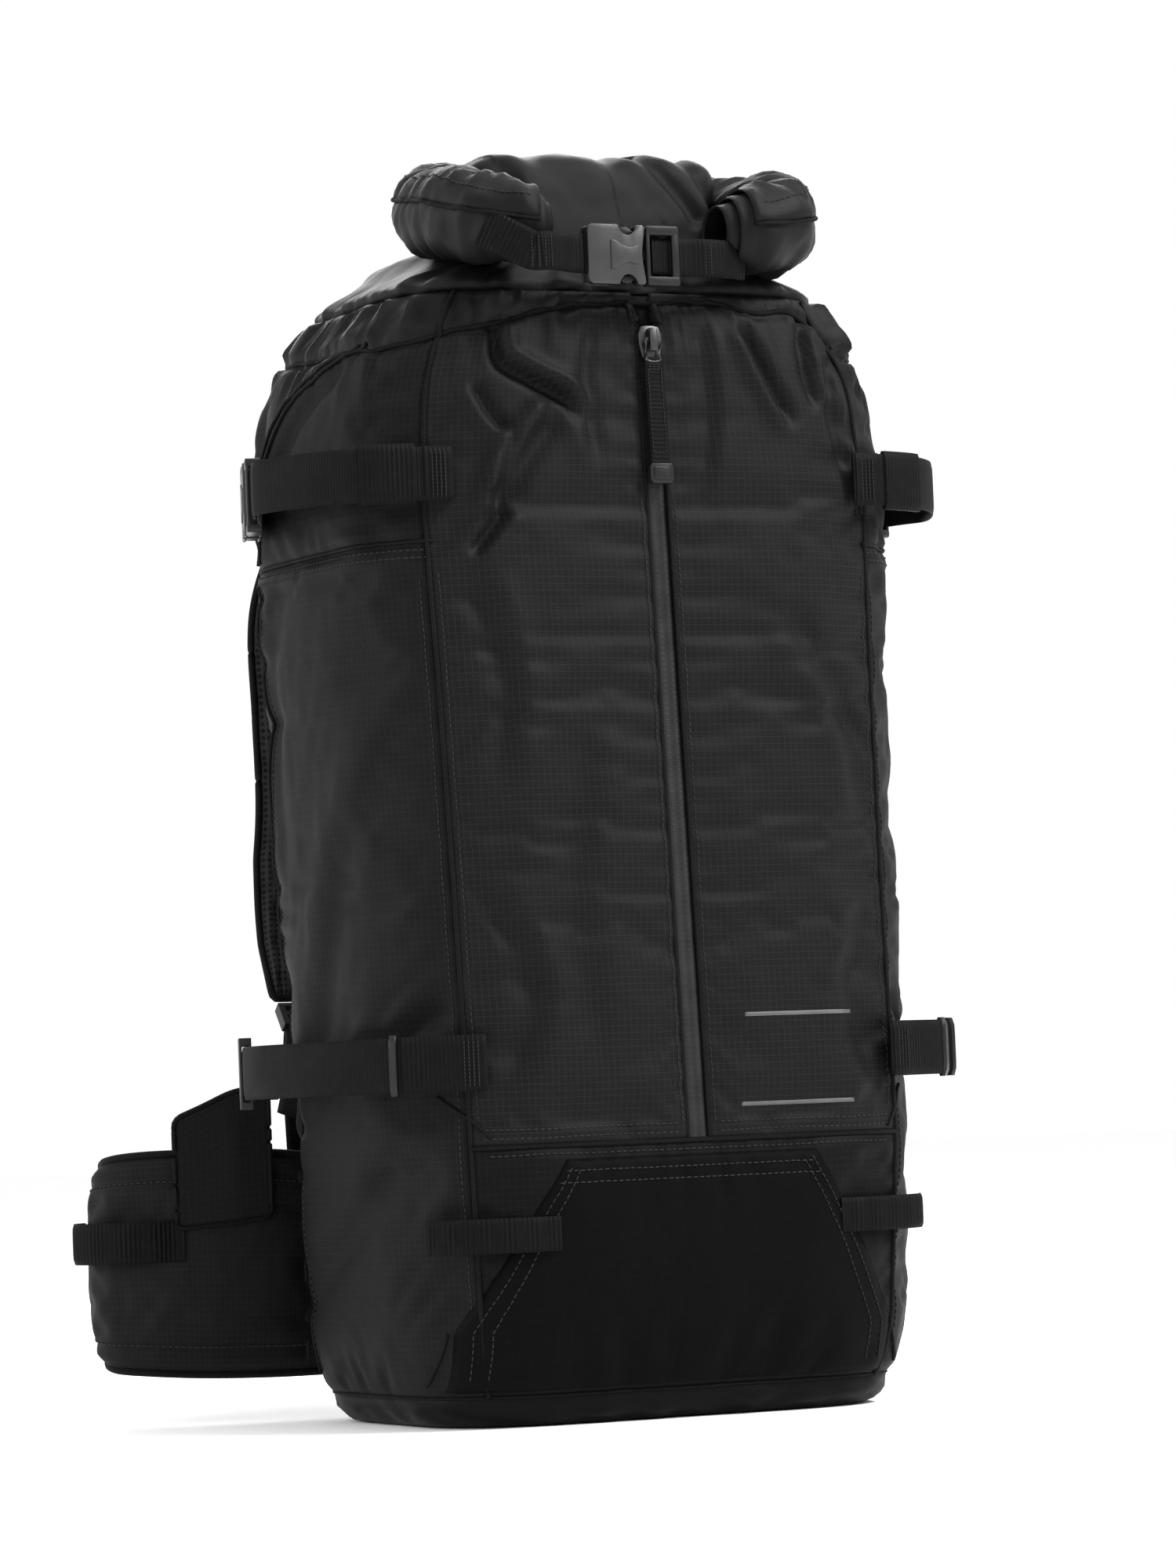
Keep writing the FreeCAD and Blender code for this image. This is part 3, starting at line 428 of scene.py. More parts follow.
def strap(name, path, wide_dir, width, thick, mat, step=0.6, rib=2.1, amp=0.10, smooth=True, wobble=0.0, seed=0,
          taper=None):
    """Webbing: a band with rounded edges that follows path; wide_dir is the direction across it."""
    c = smooth_path(path, step) if smooth else even(path, step)
    t = unitv(np.gradient(c, axis=0))
    w = np.broadcast_to(np.asarray(wide_dir, float), c.shape)
    w = unitv(w - (w * t).sum(1, keepdims=True) * t)
    n = np.cross(t, w)
    s = np.concatenate([[0], np.cumsum(np.linalg.norm(np.diff(c, axis=0), axis=1))])
    prof = []
    m = 9
    for k in range(m):
        a = -1 + 2 * k / (m - 1)
        prof.append((a, 1.0 - 0.55 * abs(a) ** 8))
    for k in range(m):
        a = 1 - 2 * k / (m - 1)
        prof.append((a, -(1.0 - 0.55 * abs(a) ** 8)))
    prof = np.array(prof)
    q = len(prof)
    ribs = amp * np.sin(2 * math.pi * s / rib) if amp else np.zeros_like(s)
    hw = width / 2 * (np.ones_like(s) if taper is None else np.interp(s / s[-1], [0, 1], taper))
    rings = np.zeros((len(c), q, 3))
    uv = np.zeros((len(c), q, 2))
    for k, (a, b) in enumerate(prof):
        th = thick / 2 * b + np.sign(b) * ribs * (1 - abs(a) ** 6)
        wob = wobble * math.sin(k * 1.7 + seed) * np.sin(s / 17.0 + seed)
        rings[:, k] = c + w * (hw * a)[:, None] + n * (th + wob)[:, None]
        uv[:, k, 0] = (a * 0.5 + 0.5) * width
        uv[:, k, 1] = s
    faces = []
    L = len(c)
    for i in range(L - 1):
        for k in range(q):
            k2 = (k + 1) % q
            faces.append((i * q + k, i * q + k2, (i + 1) * q + k2, (i + 1) * q + k))
    faces.append(tuple(range(q))[::-1])
    faces.append(tuple((L - 1) * q + k for k in range(q)))
    return link_mesh(name, rings.reshape(-1, 3), faces, mat, uv.reshape(-1, 2))


def tube_data(path, r, sides=8, base=0, radii=None, closed=False):
    c = np.asarray(path, float)
    L = len(c)
    t = unitv(np.gradient(c, axis=0))
    if closed:
        t = unitv(np.roll(c, -1, 0) - np.roll(c, 1, 0))
    ref = np.array([0.0, 0.0, 1.0]) if abs(t[:, 2]).mean() < 0.8 else np.array([1.0, 0.0, 0.0])
    a = unitv(np.cross(t, ref))
    b = np.cross(t, a)
    ang = 2 * math.pi * np.arange(sides) / sides
    rr = np.full(L, r) if radii is None else np.asarray(radii)
    V = c[:, None] + (a[:, None] * np.cos(ang)[None, :, None] + b[:, None] * np.sin(ang)[None, :, None]) * rr[:, None, None]
    s = np.concatenate([[0], np.cumsum(np.linalg.norm(np.diff(c, axis=0), axis=1))])
    uv = np.stack(np.meshgrid(s, ang * r, indexing="ij"), 2)[..., ::-1]
    F = []
    for i in range(L if closed else L - 1):
        i2 = (i + 1) % L
        for k in range(sides):
            k2 = (k + 1) % sides
            F.append((base + i * sides + k, base + i * sides + k2, base + i2 * sides + k2, base + i2 * sides + k))
    if not closed:
        F.append(tuple(base + k for k in range(sides))[::-1])
        F.append(tuple(base + (L - 1) * sides + k for k in range(sides)))
    return V.reshape(-1, 3), F, uv.reshape(-1, 2)


def tubes(name, paths, r, mat, sides=8, radii=None):
    V, F, U, base = [], [], [], 0
    for p in paths:
        v, f, u = tube_data(p, r, sides, base, None if radii is None else radii(p))
        V.append(v); F += f; U.append(u); base += len(v)
    return link_mesh(name, np.concatenate(V), F, mat, np.concatenate(U))


def stitch_rows(name, rows, mat=None, pitch=3.2, length=2.3, r=0.34, lift=0.25):
    """Rows of thread: each row is (points, normals). Every stitch is its own small rounded bar."""
    V, F, base = [], [], 0
    for pts, nrm in rows:
        pts, nrm = np.asarray(pts, float), np.asarray(nrm, float)
        both = np.concatenate([pts, nrm], 1)
        d = np.concatenate([[0], np.cumsum(np.linalg.norm(np.diff(pts, axis=0), axis=1))])
        n = int(d[-1] // pitch)
        for i in range(n):
            s0 = (i + 0.5) * pitch
            seg = []
            for f, h in ((-0.5, -0.25), (-0.28, 0.8), (0.28, 0.8), (0.5, -0.25)):
                s = min(max(s0 + f * length, 0), d[-1])
                q = np.array([np.interp(s, d, both[:, k]) for k in range(6)])
                seg.append(q[:3] + unitv(q[3:]) * lift * h)
            v, fc, _ = tube_data(np.array(seg), r, 5, base, radii=[r * 0.6, r, r, r * 0.6])
            V.append(v); F += fc; base += len(v)
    if not V:
        return None
    return link_mesh(name, np.concatenate(V), F, mat or THREAD)


def prism(outline, y0, y1, base=0):
    """outline in local XZ, extruded along Y."""
    n = len(outline)
    V = [(x, y0, z) for x, z in outline] + [(x, y1, z) for x, z in outline]
    area = sum(outline[i][0] * outline[(i + 1) % n][1] - outline[(i + 1) % n][0] * outline[i][1] for i in range(n))
    F = [tuple(base + i for i in range(n)), tuple(base + n + i for i in range(n))[::-1]]
    F += [(base + (i + 1) % n, base + i, base + n + i, base + n + (i + 1) % n) for i in range(n)]
    if (area > 0) != (y1 > y0):
        F = [f[::-1] for f in F]
    return V, F


def place_matrix(x, y, z, yaw, extra=None):
    c, s = math.cos(math.radians(yaw)), math.sin(math.radians(yaw))
    m = np.array([[c, -s, 0, x], [s, c, 0, y], [0, 0, 1, z], [0, 0, 0, 1.0]])
    return m if extra is None else extra @ m


def hard(name, parts, m, mat, bevel=0.5, segs=2, mats=None):
    """Moulded piece from prisms, with bevelled edges. parts: (outline, y0, y1[, material index])."""
    V, F, MI, base = [], [], [], 0
    for part in parts:
        v, f = prism(part[0], part[1], part[2], base)
        V += v; F += f; base += len(v)
        MI += [part[3] if len(part) > 3 else 0] * len(f)
    V = np.array(V, float)
    V = V @ m[:3, :3].T + m[:3, 3]
    ob = link_mesh(name, V, F, mats or mat, None, MI, smooth=False)
    bev = ob.modifiers.new("bevel", "BEVEL")
    bev.width, bev.segments, bev.limit_method, bev.angle_limit = bevel * MM, segs, "ANGLE", math.radians(30)
    bev.harden_normals = False
    ob.data.polygons.foreach_set("use_smooth", [True] * len(ob.data.polygons))
    return ob


def soften(node, width, mat, weld=True):
    """Modifiers and a material on a CAD node that stays."""
    o = frame["nodes"][node]
    if weld:
        w = o.modifiers.new("weld", "WELD")
        w.merge_threshold = 0.00001
    b = o.modifiers.new("bevel", "BEVEL")
    b.width, b.segments, b.limit_method, b.angle_limit = width * MM, 2, "ANGLE", math.radians(30)
    b.harden_normals = True
    o.data.materials.clear()
    o.data.materials.append(mat)
    return o


# ------------------------------------------------------------------ the bag's sections, as in the CAD
SECT = np.array([
    (0, 106, 112, -74, 84), (14, 123, 127, -93, 92), (40, 128, 134, -101.2, 95), (128, 133, 140, -106, 96),
    (250, 134, 144, -99.5, 97), (350, 136, 147, -94.2, 97), (430, 139, 148, -89.9, 97), (480, 134, 143, -87.3, 97),
    (505, 124, 132, -85.2, 94), (526, 110, 117, -79, 86)], float)
POWER, SEAM_F, SEAM_B, GAP = 4.2, 0.82, 0.86, 5.0


def unit(t):
    return max(0.0, 1.0 - abs(t) ** POWER) ** (1.0 / POWER)


V_F, U_B = -unit(SEAM_F), unit(SEAM_B)


def sect(z):
    r = min(9.0, max(0.0, z - 0.0) * 0.5, max(0.0, 526.0 - z) * 0.5)
    zs = z + r * np.linspace(-1, 1, 7)
    return [float(np.interp(zs, SECT[:, 0], SECT[:, k]).mean()) for k in (1, 2, 3, 4)]


def on_bag(u, v, z, inset=0.0, table=None):
    xf, xb, yf, yb = sect(z) if table is None else table
    hw = xf + (xb - xf) * (v + 1) / 2 - inset
    hd = (yb - yf) / 2 - inset
    return np.array((u * hw, (yf + yb) / 2 + v * hd, z))


def front_at(x, z, inset=0.0):
    v = -1.0
    for _ in range(5):
        xf, xb, yf, yb = sect(z)
        hw = xf + (xb - xf) * (v + 1) / 2 - inset
        v = -unit(min(1.0, abs(x) / hw))
    return np.array((x, (yf + yb) / 2 + v * ((yb - yf) / 2 - inset), z))


def column(kind, p, z):
    if kind == "F":
        xs = on_bag(SEAM_F, V_F, z)[0]
        sg = -1 if p < 0 else 1
        f = abs(p) - 1e-3
        return front_at(sg * (GAP + f * (xs - GAP)), z) if f < 0.999 else on_bag(sg * SEAM_F, V_F, z)
    if kind == "S":
        return on_bag((1 if p[0] > 0 else -1) * unit(p[1]), p[1], z)
    return on_bag(p, unit(p), z)


NF, NS, NB = 20, 30, 22
cols = [("F", -(1 - i / NF) - 1e-3) for i in range(NF + 1)] + [("F", i / NF + 1e-3) for i in range(NF + 1)]
sv = np.linspace(V_F, SEAM_B, NS + 1)
cols += [("S", (1, v)) for v in sv[1:]]
cols += [("B", u) for u in np.linspace(U_B, -U_B, NB + 1)[1:]]
cols += [("S", (-1, v)) for v in sv[::-1][1:-1]]
C_FL, C_ZL, C_ZR, C_FR = 0, NF, NF + 1, 2 * NF + 1
C_BR = C_FR + NS
C_BL = C_BR + NB
NC = len(cols)
rows_z = np.concatenate([np.linspace(14, 128, 20), np.linspace(128, 526, 67)[1:]])
R_LOW = 19
NR = len(rows_z)
G0 = np.array([[column(k, p, z) for z in rows_z] for k, p in cols])
POCKET_Z = 408.0
R_POCK = int(np.argmin(abs(rows_z - POCKET_Z)))


def run_cloth(name, verts, faces, pins, pressure, shrink, frames, cap, tension=12.0, bending=0.4):
    """Blender's cloth on one mesh; the result comes back as points (mm), moved at most cap."""
    ob = link_mesh(name, verts, faces, RIP)
    vg = ob.vertex_groups.new(name="pin")
    vg.add([int(i) for i in pins], 1.0, "REPLACE")
    mod = ob.modifiers.new("cloth", "CLOTH")
    st = mod.settings
    st.quality = 6
    st.mass = 0.25
    st.air_damping = 2.0
    st.tension_stiffness = st.compression_stiffness = tension
    st.shear_stiffness = tension * 0.5
    st.bending_stiffness = bending
    st.vertex_group_mass = "pin"
    st.pin_stiffness = 50.0
    st.use_pressure = True
    st.uniform_pressure_force = pressure
    st.shrink_min = shrink
    st.effector_weights.gravity = 0.0
    mod.collision_settings.use_collision = False
    mod.collision_settings.use_self_collision = False
    mod.point_cache.frame_start, mod.point_cache.frame_end = 1, frames
    SCENE.frame_start, SCENE.frame_end = 1, frames
    for f in range(1, frames + 1):
        SCENE.frame_set(f)
    dg = bpy.context.evaluated_depsgraph_get()
    me = ob.evaluated_get(dg).to_mesh()
    co = np.zeros(len(me.vertices) * 3)
    me.vertices.foreach_get("co", co)
    co = co.reshape(-1, 3) / MM
    bpy.data.objects.remove(ob)
    SCENE.frame_set(1)
    d = co - np.asarray(verts, float)
    ln = np.linalg.norm(d, axis=1, keepdims=True)
    k = cap * np.tanh(ln / cap) / np.maximum(ln, 1e-6)
    print("cloth", name, "moved at most", round(float(ln.max()), 2), "mm, mean", round(float(ln.mean()), 2))
    return np.asarray(verts, float) + d * k


ids = np.arange(NC * NR).reshape(NC, NR)
faces = []
for i in range(NC):
    i2 = (i + 1) % NC
    for j in range(NR - 1):
        if i == C_ZL and j >= R_LOW:
            continue
        faces.append((ids[i, j], ids[i2, j], ids[i2, j + 1], ids[i, j + 1]))
pin = np.zeros((NC, NR), bool)
pin[[C_FL, C_ZL, C_ZR, C_FR, C_BR, C_BL]] = True
pin[C_ZL:C_ZR + 1, :R_LOW] = False
pin[C_BR:C_BL + 1] = True
pin[:, 0] = pin[:, -1] = True
pin[C_FL:C_FR + 1, R_LOW] = True
pin[C_FR:C_BR, R_POCK] = True
pin[C_BL:, R_POCK] = True
flat = G0.reshape(-1, 3)
G1 = run_cloth("shell_cloth", flat, faces, ids[pin], 1.6, -0.016, 16, 5.5).reshape(NC, NR, 3)

Gw = np.concatenate([G1, G1[:1]])
zfine = upsample(rows_z[:, None], 3, 0)[:, 0]


def piece_grid(a, b, ku, r0=0, r1=NR - 1):
    g = upsample(upsample(Gw[a:b + 1, r0:r1 + 1], ku, 0), 3, 1)
    return g


# perimeter position of the gather seam, lowest at the corners
SEAM_X = [(-125, 498), (-111, 502), (-98.5, 506), (-85.5, 508.2), (-76.6, 509.3), (-53.3, 516.3), (-28, 519.7), (-7.7, 521.2),
          (17.9, 522.5), (43.6, 522.3), (51.7, 519), (58.8, 516.4), (69.4, 518.5), (79.9, 519.6), (91.2, 515), (100.3, 508),
          (112, 499), (125, 495)]


def seam_z(p):
    x, y = p[..., 0], p[..., 1]
    zf = np.interp(x, [a for a, _ in SEAM_X], [b for _, b in SEAM_X])
    zb = 503.0 + 7.0 * np.clip((y - 20) / 60, 0, 1)
    w = np.clip((y + 70) / 40.0, 0, 1)
    return zf * (1 - w) + zb * w


def nz(x, y, z):
    return noise.noise(Vector((x, y, z)))


def around(p):
    """A coordinate that runs round the bag in plan, mm."""
    return np.arctan2(p[..., 0] / 130.0, -p[..., 1] / 95.0) * 135.0


def pucker(G, N):
    """Gathers above and just below the seam."""
    s = around(G)
    sz = seam_z(G)
    d = G[..., 2] - sz
    fold = np.vectorize(lambda a, b: nz(a / 7.5, b / 60.0, 3.3) + 0.45 * nz(a / 3.6, b / 40.0, 9.1))(s, G[..., 2])
    above = np.where(d > 0, np.clip(d / 3.0, 0, 1) * 5.2, 0.0)
    below = np.where(d <= 0, np.exp(-(d / 22.0) ** 2) * 3.0 * np.clip(-d / 2.5, 0, 1), 0.0)
    pinch = -2.6 * np.exp(-(d / 2.6) ** 2)
    top = np.clip((526.0 - G[..., 2]) / 3.0, 0, 1)
    return ((fold * (above + below)) + pinch + 0.9 * (d > 0) * np.clip(d / 5.0, 0, 1)) * top


def seg_dist(px, pz, poly):
    """Signed distance to a polyline in the XZ plane, and how far along it (0-1)."""
    best = np.full(px.shape, 1e9)
    sign = np.zeros(px.shape)
    along = np.zeros(px.shape)
    poly = np.asarray(poly, float)
    L = np.concatenate([[0], np.cumsum(np.linalg.norm(np.diff(poly, axis=0), axis=1))])
    for i in range(len(poly) - 1):
        a, b = poly[i], poly[i + 1]
        d = b - a
        t = np.clip(((px - a[0]) * d[0] + (pz - a[1]) * d[1]) / (d @ d), 0, 1)
        qx, qz = a[0] + t * d[0], a[1] + t * d[1]
        dist = np.hypot(px - qx, pz - qz)
        better = dist < best
        best = np.where(better, dist, best)
        side = d[0] * (pz - a[1]) - d[1] * (px - a[0])
        sign = np.where(better, np.sign(side), sign)
        along = np.where(better, (L[i] + t * (L[i + 1] - L[i])) / L[-1], along)
    return best * sign, along


CREASES = [
    # points (x, z), width, depth, which side the ridge is on
    ([(-76.4, 514), (-77.8, 503), (-76.4, 491), (-61.8, 482.2), (-45.2, 473.4), (-38.7, 461.5)], 4.2, 3.6, 1),
    ([(-89.6, 481.6), (-83.3, 468.1), (-74.8, 457.3)], 4.0, 2.2, -1),
    ([(-55.2, 473.2), (-68.8, 459.2), (-81.5, 440.8), (-92.2, 422.5)], 6.5, -3.2, 1),
    ([(-77.3, 423.5), (-86.7, 411.6), (-96.1, 399.8)], 4.0, 2.4, 1),
    ([(-71.8, 459.2), (-79.7, 436.3), (-84.4, 418.0)], 3.6, 2.0, -1),
    ([(48.3, 512.4), (58.7, 491.1), (74.0, 461.5)], 4.6, 2.6, -1),
    ([(85.0, 518.0), (82.8, 494.4), (88, 470)], 4.2, 2.0, 1),
    ([(100, 500), (97, 470), (104, 440)], 5.0, 1.6, 1),
    ([(-98, 392), (-84, 340), (-92, 290)], 8.0, 1.3, 1),
    ([(-30, 512), (-34, 480), (-30, 440)], 6.0, 1.1, -1),
    ([(24, 514), (28, 470), (22, 430)], 6.0, 1.1, 1),
    ([(60, 380), (92, 330), (104, 270)], 9.0, 1.3, -1),
    ([(-104, 250), (-80, 200), (-96, 150)], 8.0, 1.2, 1),
    ([(100, 240), (86, 190), (104, 140)], 8.0, 1.1, -1),
    ([(-46, 330), (-58, 240), (-50, 160)], 12.0, 0.9, 1),
]


def creases(G):
    px, pz = G[..., 0], G[..., 2]
    out = np.zeros(px.shape)
    for pts, w, depth, side in CREASES:
        p = smooth_path(pts, 3.0)
        s, a = seg_dist(px, pz, p)
        fade = np.clip(a / 0.12, 0, 1) * np.clip((1 - a) / 0.2, 0, 1)
        s = s * side
        w = 0.82 * w
        out += 2.1 * fade * (-depth * np.exp(-(s / w) ** 2) + 0.62 * depth * np.exp(-((s - 1.8 * w) / (1.2 * w)) ** 2))
    return out


def fine_wrinkles(G, amp=0.5, sx=28.0, sz=40.0, seed=0.0):
    s = around(G)
    return np.vectorize(lambda a, b: nz(a / sx, b / sz, seed) + 0.5 * nz(a / (sx * 0.4) + 7, b / (sz * 0.35), seed + 4))(
        s, G[..., 2]) * amp


def edge_mask(shape, n_u, n_v, sides="lrbt"):
    nu, nv = shape
    i = np.arange(nu)[:, None]
    j = np.arange(nv)[None]
    m = np.ones((nu, nv))
    if "l" in sides:
        m = m * np.clip(i / n_u, 0, 1)
    if "r" in sides:
        m = m * np.clip((nu - 1 - i) / n_u, 0, 1)
    if "b" in sides:
        m = m * np.clip(j / n_v, 0, 1)
    if "t" in sides:
        m = m * np.clip((nv - 1 - j) / n_v, 0, 1)
    return m


SHELL = []     # outer grids, for finding the surface later


def face_split(G):
    c = (G[:-1, :-1] + G[1:, :-1] + G[1:, 1:] + G[:-1, 1:]) / 4
    return (c[..., 2] > seam_z(c)).astype(int).reshape(-1)


def make_panel(name, a, b, ku, r0, r1, mats, body, nodes, extra=None, wr=0.5, seed=0.0, thick=1.6, gather=True):
    G = piece_grid(a, b, ku, r0, r1)
    N = normals(G)
    m = edge_mask(G.shape[:2], 3 * ku / 2, 4.5)
    d = fine_wrinkles(G, wr, seed=seed) * m
    if extra is not None:
        d = d + extra(G) * m
    if gather:
        d = d + pucker(G, N) * edge_mask(G.shape[:2], 1.5, 1.0, "t")
    G = G + N * d[..., None]
    fm = face_split(G) if gather else None
    ob = skin(name, G, thick, mats, N=N, inner_mat=LINING, face_mat=fm)
    put(ob, body, nodes)
    SHELL.append(G)
    return G, normals(G), ob


GFL, NFL, _ = make_panel("front_left_fabric", C_FL, C_ZL, 3, R_LOW, NR - 1, [RIP, NYLON], "pack",
                         ["front_panel_left"], extra=creases, wr=0.55, seed=1.3)
GFR, NFR, _ = make_panel("front_right_fabric", C_ZR, C_FR, 3, R_LOW, NR - 1, [RIP, NYLON], "pack",
                         ["front_panel_right"], extra=creases, wr=0.55, seed=5.1)
# the lower front panel takes the darker ripstop copy, which is painted shade
GLO, NLO, _ = make_panel("lower_front_fabric", C_FL, C_FR, 3, 0, R_LOW, [RIP_SHADED_LOW], "pack",
                         ["lower_front_panel"], wr=0.7, seed=2.2, gather=False)


def side_extra(G):
    y, z = G[..., 1], G[..., 2]
    out = np.zeros(y.shape)
    for pts, w, depth in (([(-40, 500), (10, 470), (40, 425)], 6.0, 2.0), ([(60, 500), (50, 460), (44, 420)], 5.0, 1.6),
                          ([(-70, 300), (-30, 260), (10, 150)], 10.0, 1.6), ([(-84, 196), (-60, 176), (-30, 172)], 6.0, 2.4),
                          ([(20, 400), (40, 340), (30, 240)], 9.0, 1.3), ([(-60, 120), (-20, 90), (40, 60)], 9.0, 1.8),
                          ([(-80, 460), (-62, 430), (-66, 395)], 6.0, 1.8), ([(70, 200), (50, 150), (66, 90)], 7.0, 1.3)):
        s, a = seg_dist(y, z, smooth_path(pts, 3.0))
        fade = np.clip(a / 0.15, 0, 1) * np.clip((1 - a) / 0.25, 0, 1)
        out += 1.8 * fade * (-depth * np.exp(-(s / w) ** 2) + 0.55 * depth * np.exp(-((s - 2 * w) / (1.4 * w)) ** 2))
    out += -1.3 * np.exp(-((z - POCKET_Z) / 2.0) ** 2) + 0.9 * np.exp(-((z - POCKET_Z + 6) / 4.0) ** 2)
    return out


GSR, NSR, _ = make_panel("side_right_fabric", C_FR, C_BR, 2, 0, NR - 1, [RIP_SIDE, NYLON], "pack",
                         ["side_panel_right"], extra=side_extra, wr=0.8, seed=8.4)
GSL, NSL, _ = make_panel("side_left_fabric", C_BL, NC, 2, 0, NR - 1, [RIP_SIDE, NYLON], "pack",
                         ["side_panel_left"], extra=side_extra, wr=0.8, seed=12.9)
GBK, NBK, _ = make_panel("back_fabric", C_BR, C_BL, 2, 0, NR - 1, [PADF, NYLON], "pack",
                         ["back_panel"], wr=0.35, seed=4.4)

# base: a rounded tray with a slightly sagging bottom
gb = G1[:, 0]
base_levels = []
nb_r = 26
bc = np.array([0.0, 0.5, 0.0])
for k in range(7):
    a = k / 6.0 * math.pi / 2
    z = 14.0 * (1 - math.sin(a)) + 0.6 * 0
    base_levels.append((z, 13.0 * (1 - math.cos(a))))
loops = []
gb_c = np.concatenate([gb, gb[:1]])
gfine = upsample(gb_c, 2, 0)[:-1]
rad = gfine[:, :2] - bc[:2]
rl = np.linalg.norm(rad, axis=1, keepdims=True)
for z, ins in base_levels:
    q = gfine.copy()
    q[:, :2] = bc[:2] + rad * (1 - ins / rl)
    q[:, 2] = max(z, 0.3)
    loops.append(q)
for f in (0.8, 0.55, 0.3, 0.1):
    q = loops[6].copy()
    q[:, :2] = bc[:2] + (loops[6][:, :2] - bc[:2]) * f
    q[:, 2] = 0.3 + 1.2 * (1 - f)
    loops.append(q)
base = np.array(loops)                     # levels x around
wr = np.vectorize(lambda a, b, c: nz(a / 16.0, b / 16.0, c / 5.0))(base[..., 0], base[..., 1], base[..., 2])
for k in range(1, 6):
    base[k, :, :2] += (rad / rl) * (wr[k] * 3.2 * math.sin(k * math.pi / 6.0))[:, None]
nl, na = base.shape[:2]
V = base.reshape(-1, 3)
F = []
for k in range(nl - 1):
    for i in range(na):
        i2 = (i + 1) % na
        F.append((k * na + i, (k + 1) * na + i, (k + 1) * na + i2, k * na + i2))
F.append(tuple((nl - 1) * na + i for i in range(na))[::-1])
Vi = V + np.array([0, 0, 1.8])
Vi[:, :2] = bc[:2] + (V[:, :2] - bc[:2]) * 0.985
off = len(V)
F2 = [tuple(off + i for i in f[::-1]) for f in F]
for i in range(na):
    i2 = (i + 1) % na
    F2.append((i2, i2 + off, i + off, i))
ang = np.arctan2(V[:, 0], -V[:, 1])
uvb = np.stack([V[:, 0], V[:, 1] + V[:, 2]], 1)
put(link_mesh("base_fabric", np.concatenate([V, Vi]), F + F2, [BASE_NYLON], np.concatenate([uvb, uvb])), "pack",
    ["base_panel"])

# one tree of the outside surface, to lay things on it
vs, fs, b0 = [], [], 0
for g in SHELL:
    nu, nv = g.shape[:2]
    vs.append(g.reshape(-1, 3))
    fs += grid_faces(nu, nv, b0)
    b0 += nu * nv
vs = np.concatenate(vs)
TREE = BVHTree.FromPolygons([tuple(v) for v in vs], fs)


def surf(x, z, axis="front", y=None):
    """Point and outward normal of the finished fabric."""
    if axis == "front":
        hit = TREE.ray_cast(Vector((x, -200.0, z)), Vector((0, 1, 0)))
    elif axis == "back":
        hit = TREE.ray_cast(Vector((x, 200.0, z)), Vector((0, -1, 0)))
    else:
        sg = -1 if axis == "left" else 1
        hit = TREE.ray_cast(Vector((sg * 300.0, y, z)), Vector((-sg, 0, 0)))
    if hit[0] is None:
        p = front_at(x, z)
        return np.array(p), np.array((0, -1.0, 0))
    p, n = np.array(hit[0]), np.array(hit[1])
    want = {"front": (0, -1, 0), "back": (0, 1, 0), "left": (-1, 0, 0), "right": (1, 0, 0)}[axis]
    return p, n if n @ np.array(want) > 0 else -n


def on_front(pts, lift=0.0):
    out, nn = [], []
    for x, z in pts:
        p, n = surf(x, z)
        out.append(p + n * lift)
        nn.append(n)
    return np.array(out), np.array(nn)


def on_side(which, pts, lift=0.0):
    out, nn = [], []
    for y, z in pts:
        p, n = surf(None, z, which, y)
        out.append(p + n * lift)
        nn.append(n)
    return np.array(out), np.array(nn)


# ------------------------------------------------------------------ seams, piping and stitching on the bag
seam_paths = [GFL[0], GFR[-1], GLO[0], GLO[-1], GBK[0], GBK[-1]]
piping = [p + np.array([0, 0, 0]) for p in seam_paths]
low_seam = np.concatenate([GFL[:, 0], GFR[:, 0]])
base_ring = np.concatenate([G1[:, 0], G1[:1, 0]])
put(tubes("seam_piping", [even(p, 3.0) for p in piping] + [even(low_seam, 3.0)], 1.25, BIND),
    "pack")

put(tubes("base_seam", [even(base_ring, 4.0)], 0.75, BIND), "pack")

rows = []
for G, N, k in ((GFL, NFL, 2), (GFR, NFR, -3), (GSL, NSL, 1), (GSL, NSL, -2), (GSR, NSR, 1), (GSR, NSR, -2)):
    g, n = G[k][6:-66], N[k][6:-66]
    rows.append((g, n))
for G, N in ((GFL, NFL), (GFR, NFR)):
    rows.append((G[3:-3, 2], N[3:-3, 2]))
    rows.append((G[3:-3, 4], N[3:-3, 4]))
rows.append((GLO[4:-4, -3], NLO[4:-4, -3]))
for G, N, k in ((GFL, NFL, -3), (GFR, NFR, 2)):
    rows.append((G[k][4:-48], N[k][4:-48]))
put(stitch_rows("seam_stitches", rows), "pack")

# gather seam: a corded line that follows the fabric right round
ring = []
for G in (GFL, GFR, GSR, GBK, GSL):
    nu = G.shape[0]
    for i in range(nu):
        z = G[i][:, 2]
        target = float(seam_z(G[i][len(z) - 20]))
        for _ in range(2):
            j = int(np.argmin(abs(z - target)))
            target = float(seam_z(G[i][j]))
        j = int(np.argmin(abs(z - target)))
        ring.append(G[i][j])
ring = np.array(ring)
order = np.argsort(around(ring))
ring = ring[order]
keep_pts = [ring[0]]
for p in ring[1:]:
    if np.linalg.norm(p - keep_pts[-1]) > 2.4:
        keep_pts.append(p)
ring = np.array(keep_pts)
ker = np.array([1, 2, 3, 2, 1.0]); ker /= ker.sum()
padr = np.concatenate([ring[-2:], ring, ring[:2]])
ring = np.stack([np.convolve(padr[:, k], ker, "valid") for k in range(3)], 1)
ring = np.concatenate([ring, ring[:1]])
put(tubes("gather_seam_cord", [even(ring, 2.0)], 1.3, BIND), "pack")

